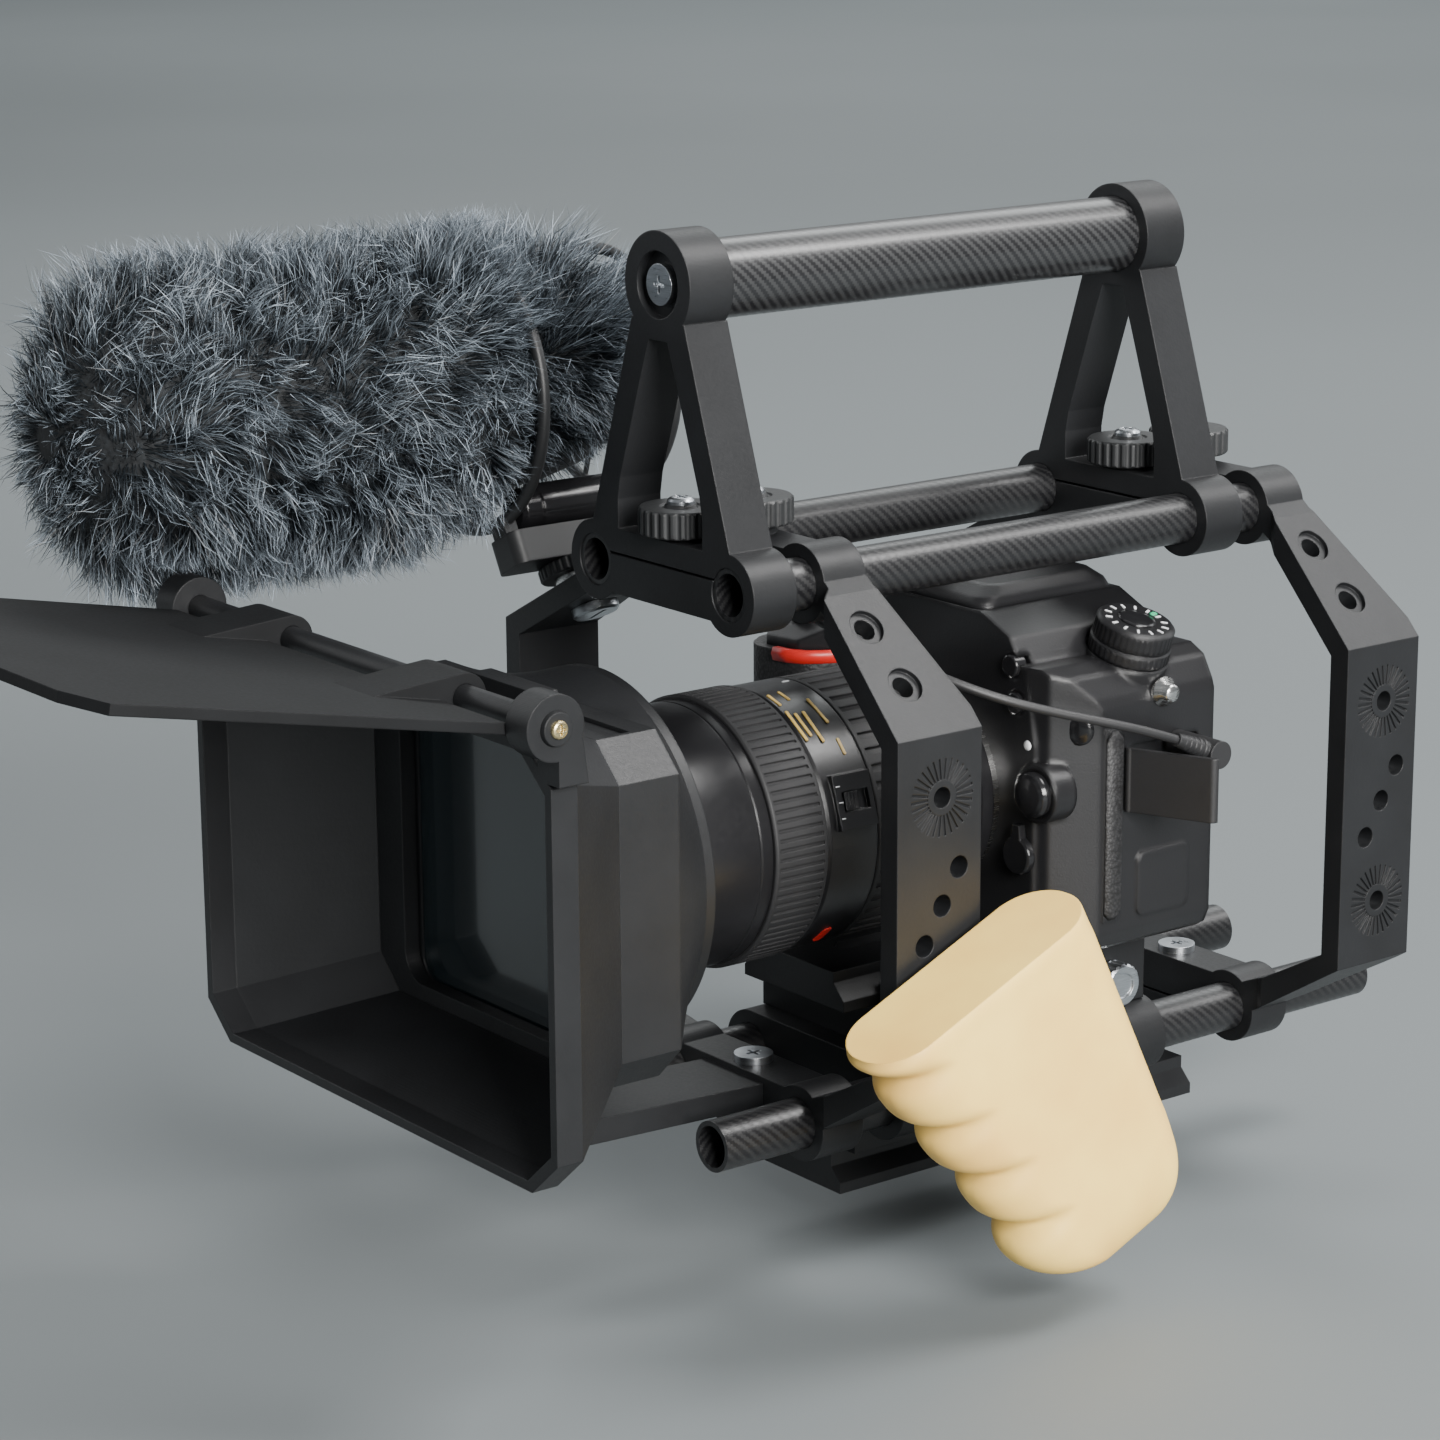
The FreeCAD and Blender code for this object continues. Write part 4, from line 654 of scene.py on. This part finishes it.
def lay_cable():
    """A round cord along the route, from the microphone's saddle to the plug."""
    curve = bpy.data.curves.new("cable", "CURVE")
    curve.dimensions = "3D"
    curve.bevel_depth = CABLE_RADIUS
    curve.bevel_resolution = 4
    curve.resolution_u = 12
    spline = curve.splines.new("NURBS")
    spline.points.add(len(CABLE_ROUTE) - 1)
    for point, spot in zip(spline.points, CABLE_ROUTE):
        point.co = (*rig(*spot), 1.0)
    spline.order_u = 3
    spline.use_endpoint_u = True
    curve.materials.append(LOOKS["jacket"])
    piece = show("cable", curve)
    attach(piece, "rig")
    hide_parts("mic_cable")


strain_relief_ribs()
lay_cable()


# ---------------------------------------------------------------- fur windscreen

# "Along" is the distance in Y from MIC_CENTRE: the nose is negative and the tail positive.
MIC_TILT = math.radians(-27.9)
MIC_UP = Vector((math.sin(MIC_TILT), 0.0, math.cos(MIC_TILT)))
MIC_SIDE = Vector((math.cos(MIC_TILT), 0.0, -math.sin(MIC_TILT)))
MIC_CENTRE = rig(-89.0, 36.0, -21.88) + MIC_UP * 0.070
FUR_PROFILE = (
    (-0.174, 0.006), (-0.172, 0.014), (-0.168, 0.024), (-0.162, 0.032), (-0.154, 0.038),
    (-0.146, 0.0415), (-0.120, 0.042), (-0.090, 0.042), (-0.056, 0.0415), (-0.036, 0.0385),
    (-0.018, 0.0350), (0.000, 0.0325), (0.012, 0.0300), (0.019, 0.0255), (0.022, 0.0200),
)
FOAM_SHARE = 0.985
FOAM_STEPS = 64
FOAM_WOBBLE = 0.0009

# The strands and their tufts.  A tone is a darkest value and what brightness adds to it.
SEED = 734
STRANDS = 60000
FUR_REACH = 0.0200
TUFT_LENGTH = 0.0062
TUFT_ANGLE = 0.15
TUFT_SHIFT = 0.6
TUFT_ENDS = (-0.1735, 0.021)
SAG = Vector((0, 0, -0.16))
STRAY = 0.30
BEND = 0.5
BOW = 0.13
LENGTH_RANGE = (0.62, 1.18)
TUFT_PULL = (0.15, 0.75)
WIDTH_RANGE = (0.00010, 0.00020)
ROOT_TONE = 0.02
MIDDLE_TONE = (0.10, 0.42)
TIP_TONE = (0.20, 0.78)

# How the pile turns and changes length towards the two ends and over the hoop.
NOSE_TURNS_AT = -0.160
NOSE_TURN = 90.0
TAIL_TURNS_AT = 0.004
TAIL_TURN = 60.0
COVER_REACH = 0.015
NOSE_SHORTENS_AT = -0.158
NOSE_SHORTENS_OVER = 0.012
NOSE_LOSS = 0.62
TAIL_LENGTHENS_AT = -0.070
TAIL_LENGTHENS_OVER = 0.040
TAIL_GAIN = 0.34

# Where strands are rooted: everywhere, then more on the nose, round the hoop and on the tail.
ROOT_SPAN = (-0.174, 0.021)
NOSE_STARTS = -0.165
NOSE_SPAN = (-0.174, -0.168)
NOSE_SHARE = 0.5
HOOP_SPREAD = 0.008
HOOP_ARC = (-0.3, 3.3)
HOOP_SHARE = 0.09
TAIL_SPAN = (0.004, 0.0215)
TAIL_ARC = (-0.2, 3.3)
TAIL_SHARE = 0.16

# The room that the fur has, and what stands in it.
FUR_LIMIT = 0.0590
NOSE_LIMIT = -0.192
TAIL_LIMIT = 0.046
HOOP_ALONG = -0.025
HOOP_HALF_GAP = 0.0035
HOOP_INSIDE = 0.0445
SADDLE_FRONT = -0.026
SADDLE_TOP = 0.028
SADDLE_HALF = 0.022
FLAG_REAR_Y = -0.222
FLAG_FAR_X = -0.102
FLAG_TOP = 0.1928
FLAG_SLOPE_Y = -0.2355
FLAG_SLOPE = 0.2035
FLAG_CLEARANCE = 0.009
SHORTENINGS = 6
SHORTENED = 0.72


def clamp(value):
    return min(1.0, max(0.0, value))


def profile_radius(y):
    for (y_low, r_low), (y_high, r_high) in zip(FUR_PROFILE, FUR_PROFILE[1:]):
        if y_low <= y <= y_high:
            return r_low + (r_high - r_low) * (y - y_low) / (y_high - y_low)
    return FUR_PROFILE[-1][1]


def mic_point(along, angle, radius):
    """A point about the microphone's axis, and the way out; 0 is to its side, 90 degrees up."""
    out = MIC_SIDE * math.cos(angle) + MIC_UP * math.sin(angle)
    return MIC_CENTRE + Vector((0, along, 0)) + out * radius, out


def too_far(spot):
    """True where a strand would leave the fur's room or enter a neighbour."""
    offset = spot - MIC_CENTRE
    along = offset.y
    flat = Vector((offset.x, 0.0, offset.z))
    reach = flat.length
    if reach > FUR_LIMIT or along < NOSE_LIMIT or along > TAIL_LIMIT:
        return True
    below = -flat.dot(MIC_UP)
    if abs(along - HOOP_ALONG) < HOOP_HALF_GAP and below > 0.0 and reach > HOOP_INSIDE:
        return True
    if along > SADDLE_FRONT and below > SADDLE_TOP and abs(flat.dot(MIC_SIDE)) < SADDLE_HALF:
        return True
    flag_rise = spot.z - (FLAG_TOP + max(0.0, FLAG_SLOPE_Y - spot.y) * FLAG_SLOPE)
    return spot.y < FLAG_REAR_Y and spot.x > FLAG_FAR_X and flag_rise < FLAG_CLEARANCE


def make_foam():
    """The dark body under the fur."""
    mesh = bmesh.new()
    rings = []
    for along, radius in FUR_PROFILE:
        ring = []
        for angle in turns(FOAM_STEPS):
            spot = Vector((along * 60.0, math.cos(angle) * 2.0, math.sin(angle) * 2.0))
            swell = radius * FOAM_SHARE + FOAM_WOBBLE * noise.noise(spot)
            ring.append(mesh.verts.new(mic_point(along, angle, swell)[0]))
        rings.append(ring)
    skin(mesh, rings)
    bmesh.ops.recalc_face_normals(mesh, faces=mesh.faces[:])
    return add_mesh("windscreen_backing", mesh, LOOKS["foam"], "rig")


def pile_way(along, angle):
    """Which way the pile stands: outward, but forward at the nose and back at the tail."""
    out = mic_point(along, angle, 1.0)[1]
    forward = max(0.0, NOSE_TURNS_AT - along) * NOSE_TURN
    backward = max(0.0, along - TAIL_TURNS_AT) * TAIL_TURN
    return (out + Vector((0, backward - forward, 0))).normalized()


def hoop_cover(along, angle):
    """How strongly the pile closes over the front hoop: over its top and sides only."""
    near = max(0.0, 1.0 - abs(along - HOOP_ALONG) / COVER_REACH)
    return near * clamp(math.sin(angle) * 4.0 + 0.6)


def pile_length(along, angle):
    """Short on the nose and under the tail, longest over the top of the tail."""
    tail = clamp((along - TAIL_LENGTHENS_AT) / TAIL_LENGTHENS_OVER)
    nose = clamp((NOSE_SHORTENS_AT - along) / NOSE_SHORTENS_OVER)
    return FUR_REACH * (1.0 + TAIL_GAIN * tail * math.sin(angle)) * (1.0 - NOSE_LOSS * nose)


def tuft_of(along, angle):
    """The middle of the tuft that a strand belongs to."""
    row = math.floor(along / TUFT_LENGTH)
    column = math.floor(angle / TUFT_ANGLE)
    shift = noise.noise_vector(Vector((row * 7.31, column * 5.17, 1.3)))
    middle = (row + 0.5 + TUFT_SHIFT * shift.x) * TUFT_LENGTH
    first, last = TUFT_ENDS
    return min(last, max(first, middle)), (column + 0.5 + TUFT_SHIFT * shift.y) * TUFT_ANGLE


def any_way(rng):
    return Vector((rng.gauss(0, 1), rng.gauss(0, 1), rng.gauss(0, 1)))


def strand_root(rng):
    """Where one strand is rooted: how far along, and at which angle."""
    along = rng.uniform(*ROOT_SPAN)
    if along < NOSE_STARTS and rng.random() < NOSE_SHARE:
        along = rng.uniform(*NOSE_SPAN)
    angle = rng.uniform(0.0, 2.0 * math.pi)
    extra = rng.random()
    if extra < HOOP_SHARE:
        along = rng.gauss(HOOP_ALONG, HOOP_SPREAD)
        angle = rng.uniform(*HOOP_ARC)
    elif extra < TAIL_SHARE:
        along = rng.uniform(*TAIL_SPAN)
        angle = rng.uniform(*TAIL_ARC)
    return along, angle


def strand_points(rng, along, angle):
    """The centre line of one strand, leaning with its tuft, and how pale the tuft is."""
    root = mic_point(along, angle, profile_radius(along) * FOAM_SHARE)[0]
    out = pile_way(along, angle)
    tuft = tuft_of(along, angle)
    seed = Vector((tuft[0] * 733.0, tuft[1] * 31.0, 7.7))
    swirl = noise.noise_vector(
        Vector((along * 34.0, math.cos(angle) * 2.2, math.sin(angle) * 2.2 + 4.0))
    )
    cover = hoop_cover(along, angle)
    lean = (noise.noise_vector(seed) * 1.5 + swirl * 0.8) * (1.0 - 0.7 * cover) + SAG
    lean.y += 0.5 * cover * math.copysign(1.0, HOOP_ALONG - along)
    stray = any_way(rng) * STRAY
    height = 0.94 + 0.5 * noise.noise(seed + Vector((0, 0, 9.1)))
    length = pile_length(along, angle) * height * rng.uniform(*LENGTH_RANGE)
    length = length * (1.0 + 0.25 * cover)
    own = root + (out + lean * 0.7 + stray).normalized() * length
    tuft_root = mic_point(*tuft, profile_radius(tuft[0]))[0]
    shared = tuft_root + (pile_way(*tuft) + lean).normalized() * length
    tip = own.lerp(shared, rng.uniform(*TUFT_PULL))
    bend = any_way(rng) * BEND
    middle = (root + tip) * 0.5 + (out + bend) * length * BOW
    return [root, middle, tip], 0.95 + 0.9 * noise.noise(seed * 1.7)


def fitted(spots):
    """A strand shortened until it keeps to its room, or None if it can't."""
    root = spots[0]
    for _ in range(SHORTENINGS):
        if not any(too_far(spot) for spot in spots[1:]):
            return spots
        spots = [root] + [root + (spot - root) * SHORTENED for spot in spots[1:]]
    return None


def make_fur():
    """Flat strands of a four-sided and a three-sided face, each vertex with its own tone."""
    rng = random.Random(SEED)
    noise.seed_set(SEED)  # noise_vector is seeded from the clock otherwise
    verts = []
    faces = []
    tones = []
    for _ in range(STRANDS):
        spots, paleness = strand_points(rng, *strand_root(rng))
        spots = fitted(spots)
        if spots is None:
            continue
        root, middle, tip = spots
        width = rng.uniform(*WIDTH_RANGE)
        across = (tip - root).cross(any_way(rng)).normalized()
        bright = min(1.0, paleness * rng.random() ** 1.9)
        first = len(verts)
        middle_tone, tip_tone = (dark + gain * bright for dark, gain in (MIDDLE_TONE, TIP_TONE))
        for spot, share, tone in ((root, 1.0, ROOT_TONE), (middle, 0.8, middle_tone)):
            half = across * width * share
            verts.extend((spot - half, spot + half))
            tones.extend((tone, tone))
        verts.append(tip)
        tones.append(tip_tone)
        faces.append((first, first + 1, first + 3, first + 2))
        faces.append((first + 2, first + 3, first + 4))
    mesh = bpy.data.meshes.new("windscreen_fur")
    mesh.from_pydata(verts, [], faces)
    attribute = mesh.attributes.new("tone", "FLOAT", "POINT")
    attribute.data.foreach_set("value", tones)
    mesh.materials.append(LOOKS["fur"])
    piece = show("windscreen_fur", mesh)
    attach(piece, "rig")


foam = make_foam()
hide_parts("windscreen")
make_fur()


# ---------------------------------------------------------------- floor and light

FLOOR_Z = -0.018
FLOOR_CORNERS = ((-12.0, -12.0), (12.0, -12.0), (12.0, 14.0), (-12.0, 14.0))


def build_stage():
    """A wide pale floor, below the lowest point that the side grip swings to."""
    mesh = bmesh.new()
    mesh.faces.new([mesh.verts.new((x, y, FLOOR_Z)) for x, y in FLOOR_CORNERS])
    data = bpy.data.meshes.new("floor")
    mesh.to_mesh(data)
    mesh.free()
    shader = Shader("pale_floor")
    wide = shader.noise(0.7, 3.0)
    shader.color(wide, (0.136, 0.153, 0.159), (0.158, 0.176, 0.183), 0.3, 0.7)
    shader.rough(wide, 0.6, 0.75)
    data.materials.append(shader.material)
    floor = show("floor", data)


# Name, place, aim, side, energy and tint of each square area light.
LIGHTS = (
    ("overhead", (1.2, 1.6, 3.2), (0.0, 0.1, 0.0), 1.5, 140.0, (1.0, 0.99, 0.98)),
    ("side_key", (2.4, -0.6, 1.1), (0.05, 0.0, 0.06), 1.2, 190.0, (1.0, 0.985, 0.965)),
    ("front_left", (-1.6, -1.8, 1.1), (0.0, 0.0, 0.15), 1.2, 5.0, (0.95, 0.98, 1.0)),
    ("left_fill", (-2.2, -0.4, 1.2), (0.0, 0.0, 0.12), 1.6, 15.0, (0.97, 0.99, 1.0)),
    ("rear_fill", (0.3, 2.6, 1.4), (0.0, 0.0, 0.12), 1.6, 26.0, (0.98, 0.99, 1.0)),
    ("backdrop", (-3.5, 4.0, 4.0), (-4.0, 5.0, 0.0), 4.0, 265.0, (0.97, 1.0, 1.0)),
)


def add_light(name, at, aim, side, energy, tint):
    data = bpy.data.lights.new(name, "AREA")
    data.shape = "RECTANGLE"
    data.size = data.size_y = side
    data.energy = energy
    data.color = tint
    lamp = show(name, data)
    lamp.location = at
    lamp.rotation_euler = (Vector(aim) - Vector(at)).to_track_quat("-Z", "Y").to_euler()


WORLD_TINT = (0.72, 0.75, 0.77, 1.0)
WORLD_STRENGTH = 0.34

build_stage()
for light in LIGHTS:
    add_light(*light)

world = bpy.data.worlds.new("studio")
world.use_nodes = True
background = world.node_tree.nodes["Background"]
background.inputs["Color"].default_value = WORLD_TINT
background.inputs["Strength"].default_value = WORLD_STRENGTH
bpy.context.scene.world = world
